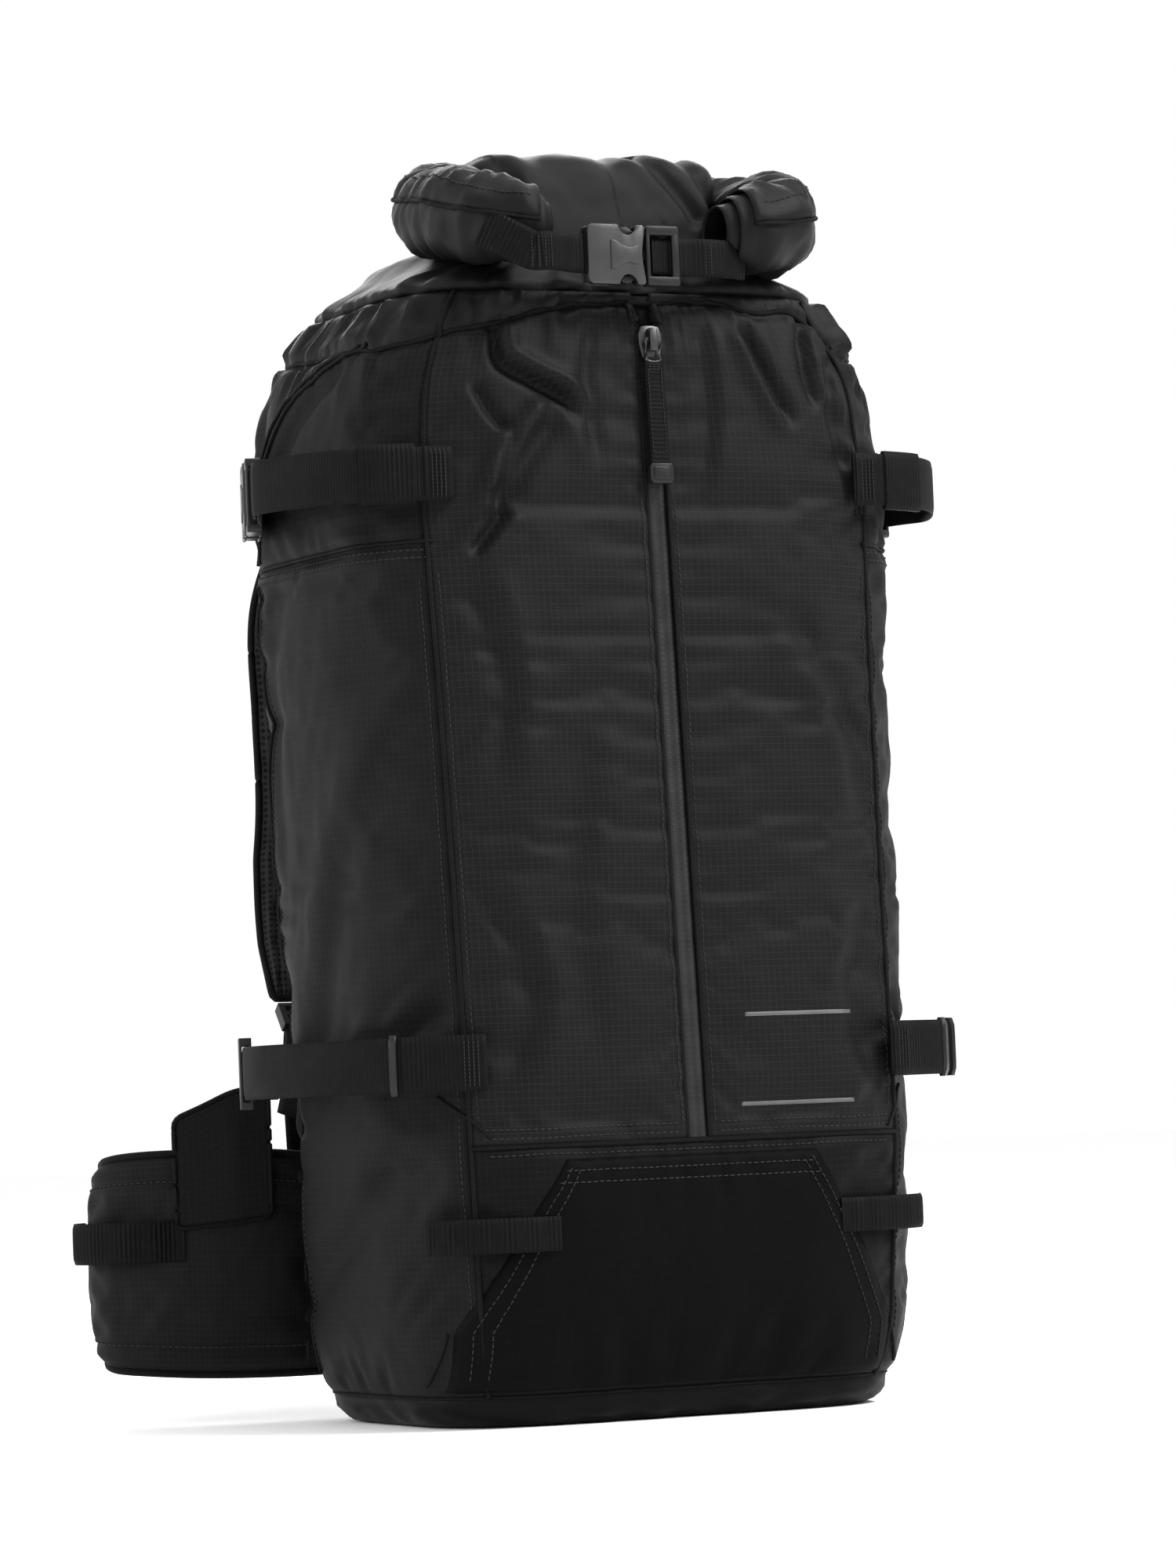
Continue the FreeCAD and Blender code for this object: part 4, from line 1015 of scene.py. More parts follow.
# side panels: pocket top binding, rear vertical seam, compression piping near the top
side_rows, side_tubes = [], []
for which, sg in (("left", -1), ("right", 1)):
    ys = np.linspace(-80, 82, 60)
    p, n = on_side(which, [(y, POCKET_Z) for y in ys], 0.5)
    side_tubes.append(even(p, 2.5))
    for dz in (4.0, 7.5):
        p, n = on_side(which, [(y, POCKET_Z - dz) for y in ys], 0.05)
        side_rows.append((p, n))
    zs = np.linspace(400, 24, 120)
    p, n = on_side(which, [(52.0, z) for z in zs], 0.35)
    side_tubes.append(even(p, 2.5))
    p, n = on_side(which, [(48.5, z) for z in zs], 0.05)
    side_rows.append((p, n))
    for o in (0.0, 9.0):
        line = smooth_path([(-46 + o, 504), (-16 + o, 496), (14 + o, 482), (36 + o, 456), (46 + o, 426), (50 + o, 411)],
                           4.0)
        p, n = on_side(which, line, 0.5)
        side_tubes.append(even(p, 2.5))
put(tubes("side_piping", side_tubes, 1.05, BIND), "pack")
put(stitch_rows("side_stitches", side_rows), "pack")

# ------------------------------------------------------------------ trapezoid patch on the lower front
nu, nv = 60, 40
P = np.zeros((nu, nv, 3))
for j in range(nv):
    z = 121.5 - (121.5 - 17.0) * j / (nv - 1)
    xl = np.interp(-z, [-121.5, -44, -17], [-68, -116, -116])
    xr = np.interp(-z, [-121.5, -73, -40, -17], [60, 88, 104, 104])
    for i in range(nu):
        t = i / (nu - 1)
        x = xl + (xr - xl) * t
        p, n = surf(x, max(z, 15.0))
        e = min(i, nu - 1 - i, j) / 1.5
        P[i, j] = p + n * (0.25 + 0.85 * min(1.0, e) + 0.5 * nz(x / 22, z / 30, 5.5) * min(1, e / 3))
P = P[:, ::-1]
# the patch material is partly its own darker fabric and partly painted shade for the lower front
patch = skin("lower_patch", P, 0.9, [PATCH_AND_SHADE], uv=arc_uv(P))
put(patch, "pack")
NP = normals(P)
prow = [(P[1:-1, -3], NP[1:-1, -3]), (P[1:-1, -5], NP[1:-1, -5]), (P[2, 2:-1], NP[2, 2:-1]), (P[4, 2:-1], NP[4, 2:-1]),
        (P[-3, 2:-1], NP[-3, 2:-1]), (P[-5, 2:-1], NP[-5, 2:-1])]
put(stitch_rows("patch_stitches", prow), "pack")
# corner chamfers from the lower front seam up to the side seams
cham = []
for a, b in (((-101, 132), (-119, 152)), ((103, 131), (119, 150)), ((-118, 44), (-122, 20)), ((104, 40), (112, 20))):
    t = np.linspace(0, 1, 14)[:, None]
    pts = np.array(a) * (1 - t) + np.array(b) * t
    p, n = on_front(pts, 0.4)
    cham.append(p)
put(tubes("corner_piping", cham, 0.9, BIND), "pack")

# ------------------------------------------------------------------ front zip
zlo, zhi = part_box("front_zip_chain")
Z_LOW, Z_TOP = zlo.z / MM, zhi.z / MM
LEAN = (-106.0 + 85.2) / (505.0 - 128.0)


def zip_y(z):
    return -85.2 + LEAN * (505.0 - z)


zz = np.arange(Z_LOW, Z_TOP + 0.01, 0.65)
prof = [(-13, 3.9), (-9, 3.7), (-5.0, 1.3), (-4.0, 0.75), (-2.4, 0.55), (-1.0, 0.62), (-0.35, 1.15), (0.35, 1.15), (1.0, 0.62),
        (2.4, 0.55), (4.0, 0.75), (5.0, 1.3), (9, 3.7), (13, 3.9)]
Gz = np.zeros((len(prof), len(zz), 3))
for i, (x, d) in enumerate(prof):
    rib = 0.14 * np.sin(2 * math.pi * zz / 2.6) * (1 if abs(x) in (1.0, 2.4) else 0)
    Gz[i, :, 0] = x
    Gz[i, :, 1] = zip_y(zz) + d - rib
    Gz[i, :, 2] = zz
put(skin("zip_band", Gz, 0.7, [ZIP], inner_mat=BIND), "pack", ["front_zip_chain"])
# folded welts along the zip
welts = []
for G, k, sg in ((GFL, -1, -1), (GFR, 0, 1)):
    w = G[k].copy()
    w = w[w[:, 2] < 512]
    w[:, 1] += 0.4
    w[:, 0] += sg * 0.6
    welts.append(even(w, 3.0))
put(tubes("zip_welts", welts, 1.15, BIND), "pack")
# zip garage above the slider
gar = []
for x in np.linspace(-9, 9, 13):
    col = []
    for z in np.linspace(511, 521, 8):
        p, n = surf(x, z)
        col.append(p + n * (0.4 + 1.6 * (1 - (x / 9) ** 4) ** 0.5))
    gar.append(col)
gar = np.array(gar)
put(skin("zip_garage", gar, 0.9, [RIP]), "pack")

# slider body, puller and tip
ZT = math.atan(LEAN)
ZR = np.array([[1, 0, 0], [0, math.cos(ZT), -math.sin(ZT)], [0, math.sin(ZT), math.cos(ZT)]])
ZM = np.eye(4)
ZM[:3, :3] = ZR
ZM[:3, 3] = (0, zip_y(500.0), 500.0)


def rounded(x0, x1, z0, z1, r, n=4):
    out = []
    for cx, cz, a0 in ((x1 - r, z1 - r, 0), (x0 + r, z1 - r, 90), (x0 + r, z0 + r, 180), (x1 - r, z0 + r, 270)):
        for k in range(n + 1):
            a = math.radians(a0 + 90.0 * k / n)
            out.append((cx + r * math.cos(a), cz + r * math.sin(a)))
    return out


slider_body = [(-3.2, -9.0), (3.2, -9.0), (4.6, -5.0), (5.8, 0.0), (6.0, 5.0), (4.6, 8.4), (2.0, 9.0), (-2.0, 9.0), (-4.6, 8.4),
               (-6.0, 5.0), (-5.8, 0.0), (-4.6, -5.0)]
put(hard("zip_slider_body", [(slider_body, -3.4, -1.5), (rounded(-2.4, 2.4, -8.5, 8.5, 1.5), -1.5, 0.3),
                             (rounded(-1.9, 1.9, 5.5, 7.4, 0.6), -6.4, -3.3), (rounded(-1.9, 1.9, -3.5, -1.6, 0.6), -6.4, -3.3),
                             (rounded(-1.9, 1.9, -3.5, 7.4, 1.2), -7.7, -6.2)], ZM, STEEL, 0.35, 2),
    "zip_slider", ["zip_slider"])
# puller: a ring, then doubled webbing with stitches, then the moulded end
ring_o = rounded(-4.8, 4.8, -9.3, 3.0, 2.2)
ringp = np.array([(x, -5.0, z) for x, z in rounded(-3.6, 3.6, -8.6, 2.2, 2.0, 6)])
rp = np.concatenate([ringp, ringp[:1]])
rv, rf, ru = tube_data(rp[:-1], 1.05, 8, 0, closed=True)
rv = rv @ ZR.T + ZM[:3, 3]
put(link_mesh("zip_puller_ring", rv, rf, STEEL), "zip_puller", ["zip_puller"])
pl = np.array([(0, -5.0, -6.5), (0, -4.6, -16), (0, -4.8, -30), (0, -5.0, -46), (0, -5.0, -57.2)], float) @ ZR.T + ZM[:3, 3]
pull = strap("zip_puller_tab", pl, (1, 0, 0), 9.6, 2.0, WEB, step=0.5, rib=1.7, amp=0.14)
put(pull, "zip_puller")
st = []
for x in (-3.4, 3.4):
    q = np.array([(x, -5.95, -12), (x, -5.9, -30), (x, -6.1, -52)], float) @ ZR.T + ZM[:3, 3]
    st.append((even(q, 2.0), np.broadcast_to(ZR @ np.array([0, -1.0, 0]), (len(even(q, 2.0)), 3))))
for z in (-11.0, -12.4, -52.0):
    q = np.array([(-3.4, -5.95, z), (3.4, -5.95, z)], float) @ ZR.T + ZM[:3, 3]
    st.append((even(q, 1.0), np.broadcast_to(ZR @ np.array([0, -1.0, 0]), (len(even(q, 1.0)), 3))))
put(stitch_rows("zip_puller_stitches", st, pitch=2.0, length=1.4, r=0.25, lift=0.15), "zip_puller")
tip = [(-5.0, -57.0), (5.0, -57.0), (6.0, -59.0), (6.0, -64.5), (4.6, -66.4), (-4.6, -66.4), (-6.0, -64.5), (-6.0, -59.0)]
put(hard("zip_puller_end", [(tip, -7.0, -3.0), (rounded(-4.2, 4.2, -64.6, -58.6, 1.2), -7.5, -6.9)], ZM, PLASTIC, 0.6, 3),
    "zip_puller", ["zip_puller_tip"])

# ------------------------------------------------------------------ small details on the front
bars = []
for x0, x1, z in ((26.0, 85.0, 185.0), (22.5, 82.0, 143.5)):
    g = np.zeros((40, 4, 3))
    for i, x in enumerate(np.linspace(x0, x1, 40)):
        for j, dz in enumerate(np.linspace(-0.95, 0.95, 4)):
            p, n = surf(x, z + dz)
            g[i, j] = p + n * 0.22
    bars.append(g)
for k, g in enumerate(bars):
    put(skin("reflective_bar_%d" % (k + 1), g, 0.35, [REFLECT]), "pack")
slit = np.array([(113.0, z) for z in np.linspace(422, 447, 14)])
p, n = on_front(slit, 0.1)
rr = 0.25 + 0.75 * np.sin(np.linspace(0, math.pi, len(p)))
# a near-black tube in the slit: painted shade inside the opening, between the lips
sl = tubes("vent_slit", [p], 1.0, SLIT_SHADE, 6, radii=lambda q: rr)
put(sl, "pack")
lips = []
for dx in (-1.5, 1.5):
    q, n = on_front([(113.0 + dx * math.sin(math.pi * t), 422 + 25 * t) for t in np.linspace(0.02, 0.98, 14)], 0.15)
    lips.append(q)
put(tubes("vent_slit_lips", lips, 0.6, RIP), "pack")
q, n = on_front([(116.4, z) for z in np.linspace(420, 449, 12)], 0.02)
q2, n2 = on_front([(109.6, z) for z in np.linspace(420, 449, 12)], 0.02)
put(stitch_rows("vent_slit_stitches", [(q, n), (q2, n2)], pitch=2.6, length=1.8, r=0.28), "pack")

# ------------------------------------------------------------------ buckles, in the CAD's own local frames
def socket_parts(half, length=30.0):
    w = half + 5.0
    plate = [(0.6, -w + 1.4), (1.6, -w), (4.6, -w), (5.6, -w + 2.6), (7.4, -w + 4.3), (9.5, -w + 4.9), (11.6, -w + 4.3),
             (13.4, -w + 2.6), (14.4, -w), (length - 2.4, -w), (length - 0.6, -w + 1.0), (length, -w + 3.0)]
    plate = plate + [(x, -z) for x, z in plate[::-1]]
    # the mouth edge dips in the middle
    plate = plate + [(1.8, half * 0.55), (2.4, 0.0), (1.8, -half * 0.55)]
    inner = [(4.5, -half * 0.5), (7.0, -half * 0.42), (9.5, -half * 0.38), (13.0, -half * 0.5), (16.0, -half * 0.72),
             (18.5, -half * 0.78)]
    inner = inner + [(x, -z) for x, z in inner[::-1]]
    L = length
    parts = [(plate, -4.3, -2.8, 1), (plate, 2.8, 4.3, 0), (inner, -4.95, -4.2, 1),
             (rounded(17.2, L - 8.3, -w + 0.4, w - 0.4, 0.8), -2.9, 2.9, 0),
             (rounded(L - 3.8, L - 0.3, -w + 1.0, w - 1.0, 0.8), -2.9, 2.9, 0),
             (rounded(L - 8.8, L - 3.2, half + 0.6, w - 0.4, 0.8), -2.9, 2.9, 0),
             (rounded(L - 8.8, L - 3.2, -w + 0.4, -half - 0.6, 0.8), -2.9, 2.9, 0),
             (rounded(0.8, 4.8, half + 3.3, w - 0.2, 0.6), -2.9, 2.9, 0),
             (rounded(0.8, 4.8, -w + 0.2, -half - 3.3, 0.6), -2.9, 2.9, 0),
             (rounded(14.0, 17.6, half + 3.3, w - 0.2, 0.6), -2.9, 2.9, 0),
             (rounded(14.0, 17.6, -w + 0.2, -half - 3.3, 0.6), -2.9, 2.9, 0)]
    return parts


def plug_parts(half, back_len=17.0):
    w = half + 5.0
    e = -0.4 - back_len
    return [(rounded(e, -0.5, half + 0.8, w, 1.4), -3.6, 3.6), (rounded(e, -0.5, -w, -half - 0.8, 1.4), -3.6, 3.6),
            (rounded(-2.4, -0.5, -w + 1, w - 1, 0.7), -3.4, 3.4), (rounded(e, e + 3.6, -w + 1, w - 1, 1.4), -3.4, -1.8),
            (rounded(e, e + 3.6, -w + 1, w - 1, 1.4), 1.8, 3.4),
            (rounded(-9.4, -6.4, -w + 2, w - 2, 0.9), -3.8, -1.8)]


def prong_parts(half, side):
    a = [(-0.6, half + 0.7), (6.0, half + 0.7), (12.6, half + 0.7), (13.3, half + 1.4), (12.9, half + 2.6), (11.4, half + 4.0),
         (9.0, half + 4.3), (6.9, half + 3.4), (6.3, half + 2.6), (-0.6, half + 2.6)]
    if side < 0:
        a = [(x, -z) for x, z in a][::-1]
    return [(a, -1.8, 1.8)]


def guide_parts(half):
    # the tongue between the prongs
    return [([(-0.6, -2.4), (9.0, -1.5), (10.4, 0.0), (9.0, 1.5), (-0.6, 2.4)], -1.3, 1.3)]


FL = math.radians(-15.0)
FLARE = np.eye(4)
FLARE[:2, :2] = [[math.cos(FL), -math.sin(FL)], [math.sin(FL), math.cos(FL)]]
FLARE[:2, 3] = np.array([100.0, 108.0]) - FLARE[:2, :2] @ np.array([100.0, 108.0])

BUCK = [PLASTIC, PLATE]
slo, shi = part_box("roll_socket")
XB, YB, ZB = shi.x / MM, (slo.y + shi.y) / 2 / MM, (slo.z + shi.z) / 2 / MM
M = place_matrix(XB, YB, ZB, 180.0)
# turned half round, local -Y is world +Y, so the plates are swapped to keep the light one outside
def outward(parts):
    return [(o, -b, -a, m) if m == 1 or (a, b) in ((2.8, 4.3),) else (o, a, b, m) for o, a, b, m in parts]


put(hard("roll_buckle_socket", outward(socket_parts(9.0)), M, None, 0.45, 2, BUCK), "roll_top",
    ["roll_socket"])
put(hard("roll_buckle_frame", plug_parts(9.0) + guide_parts(9.0), M, PLASTIC, 0.5, 2), "roll_plug",
    ["roll_plug"])
put(hard("roll_buckle_prong_upper", prong_parts(9.0, 1), M, PLASTIC, 0.35, 2), "roll_prong_upper",
    ["roll_prong_upper"])
put(hard("roll_buckle_prong_lower", prong_parts(9.0, -1), M, PLASTIC, 0.35, 2), "roll_prong_lower",
    ["roll_prong_lower"])

UX, UY, JX, JY, Z_UP = 0.33, 0.944, -161.5, 16.0, 438.0
yaw_l = math.degrees(math.atan2(UY, UX))
for side, M in (("left", place_matrix(JX, JY, Z_UP, yaw_l)), ("right", place_matrix(-JX, JY, Z_UP, 180.0 - yaw_l))):
    sp = socket_parts(12.5)
    if side == "left":
        sp = outward(sp)
    put(hard("ski_buckle_socket_" + side, sp, M, None, 0.5, 2, BUCK), "pack", ["ski_socket_" + side])
    put(hard("ski_buckle_plug_" + side, plug_parts(12.5) + prong_parts(12.5, 1) + prong_parts(12.5, -1) + guide_parts(12.5),
             M, PLASTIC, 0.45, 2), "ski_plug_" + side, ["ski_plug_" + side])
M = place_matrix(2.0, 194.65, 348.0, 180.0)
put(hard("sternum_buckle_socket", socket_parts(9.0), M, None, 0.45, 2, BUCK), "sternum_left",
    ["sternum_socket"])
put(hard("sternum_buckle_plug", plug_parts(9.0) + prong_parts(9.0, 1) + prong_parts(9.0, -1) + guide_parts(9.0), M,
         PLASTIC, 0.45, 2), "sternum_plug", ["sternum_plug"])
M = place_matrix(-14.5, 300.0, 76.0, 180.0)
put(hard("hip_buckle_socket", socket_parts(19.0, 34.0), M, None, 0.6, 2, BUCK), "hip_wing_left",
    ["hip_socket"])
M = place_matrix(12.0, 300.0, 76.0, 180.0, FLARE)
put(hard("hip_buckle_plug", plug_parts(19.0) + prong_parts(19.0, 1) + prong_parts(19.0, -1) + guide_parts(19.0), M,
         PLASTIC, 0.55, 2), "hip_plug", ["hip_plug"])
for node, w in (("ski_lower_locks", 0.7), ("strap_adjusters", 0.6), ("sternum_glider_left", 0.6),
                ("sternum_glider_right", 0.6), ("sternum_rails", 0.5)):
    soften(node, w, PLASTIC)
soften("frame_sheet", 0.3, SHEETP)
soften("frame_stay", 0.5, ALU)
soften("roll_stiffener", 0.3, SHEETP)


# ------------------------------------------------------------------ side straps
def pts3(path, z):
    return np.array([(x, y, z) for x, y in path], float)


def mir(p):
    q = np.array(p, float)
    q[..., 0] *= -1
    return q


def along(s):
    return (JX + UX * s, JY + UY * s)


UPZ = np.array([0, 0, 1.0])
up_path = [(-104.0, -89.2), (-110.0, -88.6), (-122.0, -86.2), (-142.0, -79.0), (-158.0, -65.0), (-169.0, -46.0), along(-44.0),
           along(-30), along(-15.6)]
LXX, LYY, LUX, LUY, Z_LO = -170.5, 28.0, 0.345, 0.9386, 167.0
lock = (LXX + LUX * 20.0, LYY + LUY * 20.0)
low_path = [(-104.0, -102.2), (-111.0, -99.9), (-121.0, -94.6), (-141.0, -84.0), (-158.0, -64.0), (-170.0, -38.0), (-175.6, -8.0),
            (LXX - LUX * 8, LYY - LUY * 8), (lock[0] - LUX * 11.0, lock[1] - LUY * 11.0)]
anchor_up = [along(28.0), along(34.0), (-146.6, 58.0), (-141.5, 68.5)]
anchor_lo = [(lock[0] - LUX * 8, lock[1] - LUY * 8), (lock[0] + LUX * 4, lock[1] + LUY * 4), (-151.0, 62.0), (-137.5, 72.5)]
anch, tacks = [], {"left": [], "right": []}
for side, f in (("left", lambda p: p), ("right", mir)):
    p = f(pts3(up_path, Z_UP))
    put(strap("ski_strap_upper_web_" + side, p, UPZ, 25.0, 2.0, WEB_S, step=0.8, rib=1.4, amp=0.05), "pack",
        ["ski_strap_upper_" + side])
    p = f(pts3(low_path, Z_LO))
    put(strap("ski_strap_lower_web_" + side, p, UPZ, 25.0, 2.0, WEB_S, step=0.8, rib=1.4, amp=0.05), "pack",
        ["ski_strap_lower_" + side])
    # ribbed doubled ends by the front seam, and elastic keepers
    c = smooth_path(pts3(up_path, Z_UP), 1.0)
    c2 = smooth_path(pts3(low_path, Z_LO), 1.0)
    for nm, cc, a, b, ww, th, mt in (("keeper_upper_", c, 18, 44, 28.0, 4.6, WEB), ("end_upper_", c, 1, 15, 25.6, 3.2, WEB),
                                     ("ribbed_lower_", c2, 1, 40, 25.8, 3.4, WEB), ("bar_lower_", c2, 41, 45, 28.0, 5.2, PLASTIC),
                                     ("keeper_lower_", c2, 52, 62, 27.6, 4.4, WEB)):
        if nm == "keeper_lower_" and side == "left":
            continue
        put(strap(nm + side, f(cc[a:b]), UPZ, ww, th, mt, step=0.55, rib=2.3, amp=0.16 if mt is WEB else 0.0), "pack")
    for cc, z0 in ((c, Z_UP), (c2, Z_LO)):
        for k in (4, 6, 8, 10):
            q = f(np.array([(cc[k][0], cc[k][1], z0 + h) for h in np.linspace(-10.5, 10.5, 12)]))
            t = unitv(cc[k + 1] - cc[k])
            nrm = f(np.cross(t, UPZ))
            nrm = nrm if nrm[1] < 0 else -nrm
            tacks[side].append((q + nrm * 1.75, np.broadcast_to(nrm, q.shape)))
    anch.append(f(pts3(anchor_up, Z_UP)))
    anch.append(f(pts3(anchor_lo, Z_LO)))
for k, p in enumerate(anch):
    put(strap("ski_anchor_web_%d" % (k + 1), p, UPZ, 25.0, 2.0, WEB_S, step=0.8, rib=1.4, amp=0.05), "pack",
        ["ski_anchor_webbing"] if k == 0 else [])
put(stitch_rows("ski_strap_tacks", tacks["left"] + tacks["right"], pitch=1.7, length=1.3, r=0.3, lift=0.15), "pack")

axe_path = [(-72.0, -106.2), (-84, -105.6), (-95.0, -104.2), (-112.0, -98.0), (-122.5, -89.2), (-127.5, -81.0)]
ax_n = []
for side, f, z in (("left", lambda p: p, 88.0), ("right", mir, 90.0)):
    put(strap("axe_loop_" + side, f(pts3(axe_path, z)), UPZ, 16.0, 2.0, WEB, step=0.55, rib=2.6, amp=0.28), "pack",
        ["axe_loops"] if side == "left" else [])

# ------------------------------------------------------------------ roll top
HOOD = [(525.9, 107.0, 113.4, -75.4, 83.2), (529.0, 108.6, 115.0, -76.8, 84.8), (532.0, 107.5, 114.0, -76.2, 85.0),
        (535.5, 101, 109, -72.8, 84.2), (539.5, 90, 103, -69.0, 83.2), (544.0, 77, 98, -66.5, 82.2), (548.5, 67, 93, -65.0, 81.0),
        (553.0, 60, 88, -64.0, 78.5), (557.0, 58, 80, -63.5, 66.0), (560.5, 57.5, 68, -63.0, 44.0), (565.0, 57.5, 60, -62.0, 22.0),
        (572.0, 57.5, 57.5, -59.5, 4.0), (580.0, 59, 58, -56.5, -1.0), (588, 61, 60, -52.0, 0.0), (594.5, 60, 60, -46.0, 2.0),
        (597.8, 53, 54, -38.0, 0.0), (599.0, 42, 43, -29.0, -6.0)]
HOODA = np.array(HOOD, float)
na = 220
th = np.linspace(0, 2 * math.pi, na, endpoint=False)


def ring_uv(t):
    # evenly spread superellipse coordinates, starting at the front middle and turning towards +X
    c, s = math.sin(t), -math.cos(t)
    u = math.copysign(abs(c) ** (2 / POWER), c)
    v = math.copysign(abs(s) ** (2 / POWER), s)
    return u, v


# an even spacing along the outline
raw = np.array([ring_uv(t) for t in np.linspace(0, 2 * math.pi, 2401)])
pos = raw * np.array([112.0, 81.0])
d = np.concatenate([[0], np.cumsum(np.linalg.norm(np.diff(pos, axis=0), axis=1))])
sN = np.linspace(0, d[-1], na + 1)[:-1]
UV = np.stack([np.interp(sN, d, raw[:, 0]), np.interp(sN, d, raw[:, 1])], 1)
lev = upsample(HOODA, 4, 0)
# the crown's front dips between the arms of the roll and creases towards the right
H = np.zeros((na, len(lev), 3))
for j, (z, xf, xb, yf, yb) in enumerate(lev):
    for i, (u, v) in enumerate(UV):
        hw = xf + (xb - xf) * (v + 1) / 2
        hd = (yb - yf) / 2
        H[i, j] = (u * hw, (yf + yb) / 2 + v * hd, z)
Hc = np.concatenate([H, H[:1]])
NH = normals(np.concatenate([H[-1:], H, H[:1]]))[1:-1]
sv_ = sN
zz_ = lev[:, 0]
for j, z in enumerate(zz_):
    t = (z - 525.9) / (599.0 - 525.9)
    low = np.exp(-((z - 533) / 9.0) ** 2)
    for i, s in enumerate(sv_):
        a = 2 * math.pi * s / d[-1]
        cx, cy = 60 * math.cos(a), 60 * math.sin(a)
        g = nz(cx / 5.6, cy / 5.6, z / 40.0) + 0.5 * nz(cx / 2.6, cy / 2.6, z / 30.0 + 8)
        w = nz(H[i, j, 0] / 30.0, H[i, j, 1] / 30.0, z / 26.0 + 3) + 0.5 * nz(H[i, j, 0] / 12.0, H[i, j, 1] / 14.0, z / 12.0)
        x, y = H[i, j, 0], H[i, j, 1]
        cre = 0.0
        for (x0, z0, x1, z1, ww, dep) in ((18, 599, 42, 566, 4.0, 3.2), (44, 597, 56, 570, 3.4, 3.0), (-34, 596, -12, 566, 7.0, 1.4),
                                         (2, 599, 16, 574, 6.0, 1.4), (-54, 590, -44, 556, 4.0, 2.2)):
            if y < 10:
                dx, dz = x1 - x0, z1 - z0
                tt = min(1, max(0, ((x - x0) * dx + (z - z0) * dz) / (dx * dx + dz * dz)))
                dist = math.hypot(x - x0 - tt * dx, z - z0 - tt * dz)
                sgn = dx * (z - z0) - dz * (x - x0)
                off_ = dist * (1 if sgn > 0 else -1)
                cre += -dep * math.exp(-(off_ / ww) ** 2) + 0.6 * dep * math.exp(-((off_ - 1.9 * ww) / (1.4 * ww)) ** 2)
        edge = min(1.0, j / 3.0)
        H[i, j] += NH[i, j] * ((3.2 * g * low + 1.7 * w * (1 - low) * min(1, t * 3) + cre * (1 - low)) * edge)
        H[i, j, 2] = min(H[i, j, 2], 604.5)
nl = len(zz_)
Hn = normals(np.concatenate([H[-1:], H, H[:1]]))[1:-1]
Hin = H - Hn * 1.6
Hin[:, :, 2] = np.maximum(Hin[:, :, 2], 525.9)
V = np.concatenate([H.reshape(-1, 3), Hin.reshape(-1, 3)])
F = grid_faces(na, nl, 0, wrap=True) + grid_faces(na, nl, na * nl, flip=True, wrap=True)
top_c = H[:, -1].mean(0) + np.array([0, 0, 0.9])
# close the crown with rings towards its middle
ringsT, prev = [], [i * nl + nl - 1 for i in range(na)]
extraV = []
basei = len(V)
for k, f in enumerate((0.72, 0.45, 0.2)):
    q = top_c + (H[:, -1] - top_c) * f
    q[:, 2] = (H[:, -1, 2] * f + H[:, -1, 2].mean() * (1 - f) - (1 - f) * 1.0
               + 0.25 * np.array([nz(a / 20.0, b / 20.0, 2.2) for a, b in q[:, :2]]))
    cur = [basei + i for i in range(na)]
    extraV.append(q)
    for i in range(na):
        i2 = (i + 1) % na
        F.append((prev[i], prev[i2], cur[i2], cur[i]))
    prev = cur
    basei += na
F.append(tuple(prev))
prev = [na * nl + i * nl + nl - 1 for i in range(na)]
for k, f in enumerate((0.72, 0.45, 0.2)):
    q = top_c + (Hin[:, -1] - top_c) * f
    q[:, 2] = Hin[:, -1, 2] * f + Hin[:, -1, 2].mean() * (1 - f) - (1 - f) * 1.0
    cur = [basei + i for i in range(na)]
    extraV.append(q)
    for i in range(na):
        i2 = (i + 1) % na
        F.append((prev[i2], prev[i], cur[i], cur[i2]))
    prev = cur
    basei += na
F.append(tuple(prev)[::-1])
for i in range(na):
    i2 = (i + 1) % na
    F.append((i2 * nl, i * nl, na * nl + i * nl, na * nl + i2 * nl))
V = np.concatenate([V] + extraV)
uvh = np.zeros((len(V), 2))
uvh[:na * nl] = np.stack(np.meshgrid(sN, zz_ * 1.2, indexing="ij"), 2).reshape(-1, 2)
uvh[na * nl:2 * na * nl] = uvh[:na * nl]
uvh[2 * na * nl:] = V[2 * na * nl:, :2]
put(link_mesh("roll_hood_fabric", V, F, [NYLON], uvh), "roll_top", ["roll_hood"])

# the roll: one sheet of fabric wound about its own line, its ends bent forward
TR = math.atan2(578.0 - 556.0, 14.0 + 88.0)
S_B = (14.0 + 88.0) / math.cos(TR)
plan = [(-51.0, 0.0), (-57.0, 0.3), (-67.0, 4.5), (-74.5, 13.0), (-78.0, 27.0), (-78.0, 52.0), (-76.0, 72.0), (-69.0, 88.0),
        (-57.0, 98.5), (-42.0, S_B), (-20.0, S_B), (0.0, S_B)]
plan = plan + [(-x, s) for x, s in plan[-2::-1]]
plan[-1] = (34.0, 0.5)
cl = smooth_path([(x, -88.0 + s * math.cos(TR), 556.0 + s * math.sin(TR)) for x, s in plan], 1.8)
tl = unitv(np.gradient(cl, axis=0))
mid_n = np.array([0, -math.sin(TR), math.cos(TR)])
side_n = unitv(np.cross(mid_n, tl))            # points to the inside of the C, or out of it
sl_ = np.concatenate([[0], np.cumsum(np.linalg.norm(np.diff(cl, axis=0), axis=1))])
Ltot = sl_[-1]
turns, layers = 2.6, 84
phi = np.linspace(0, turns * 2 * math.pi, layers)
curv = np.linalg.norm(np.gradient(tl, axis=0), axis=1)
curv = np.convolve(curv, np.ones(9) / 9, "same")
R0 = 22.6
g = np.zeros((len(cl), layers, 3))
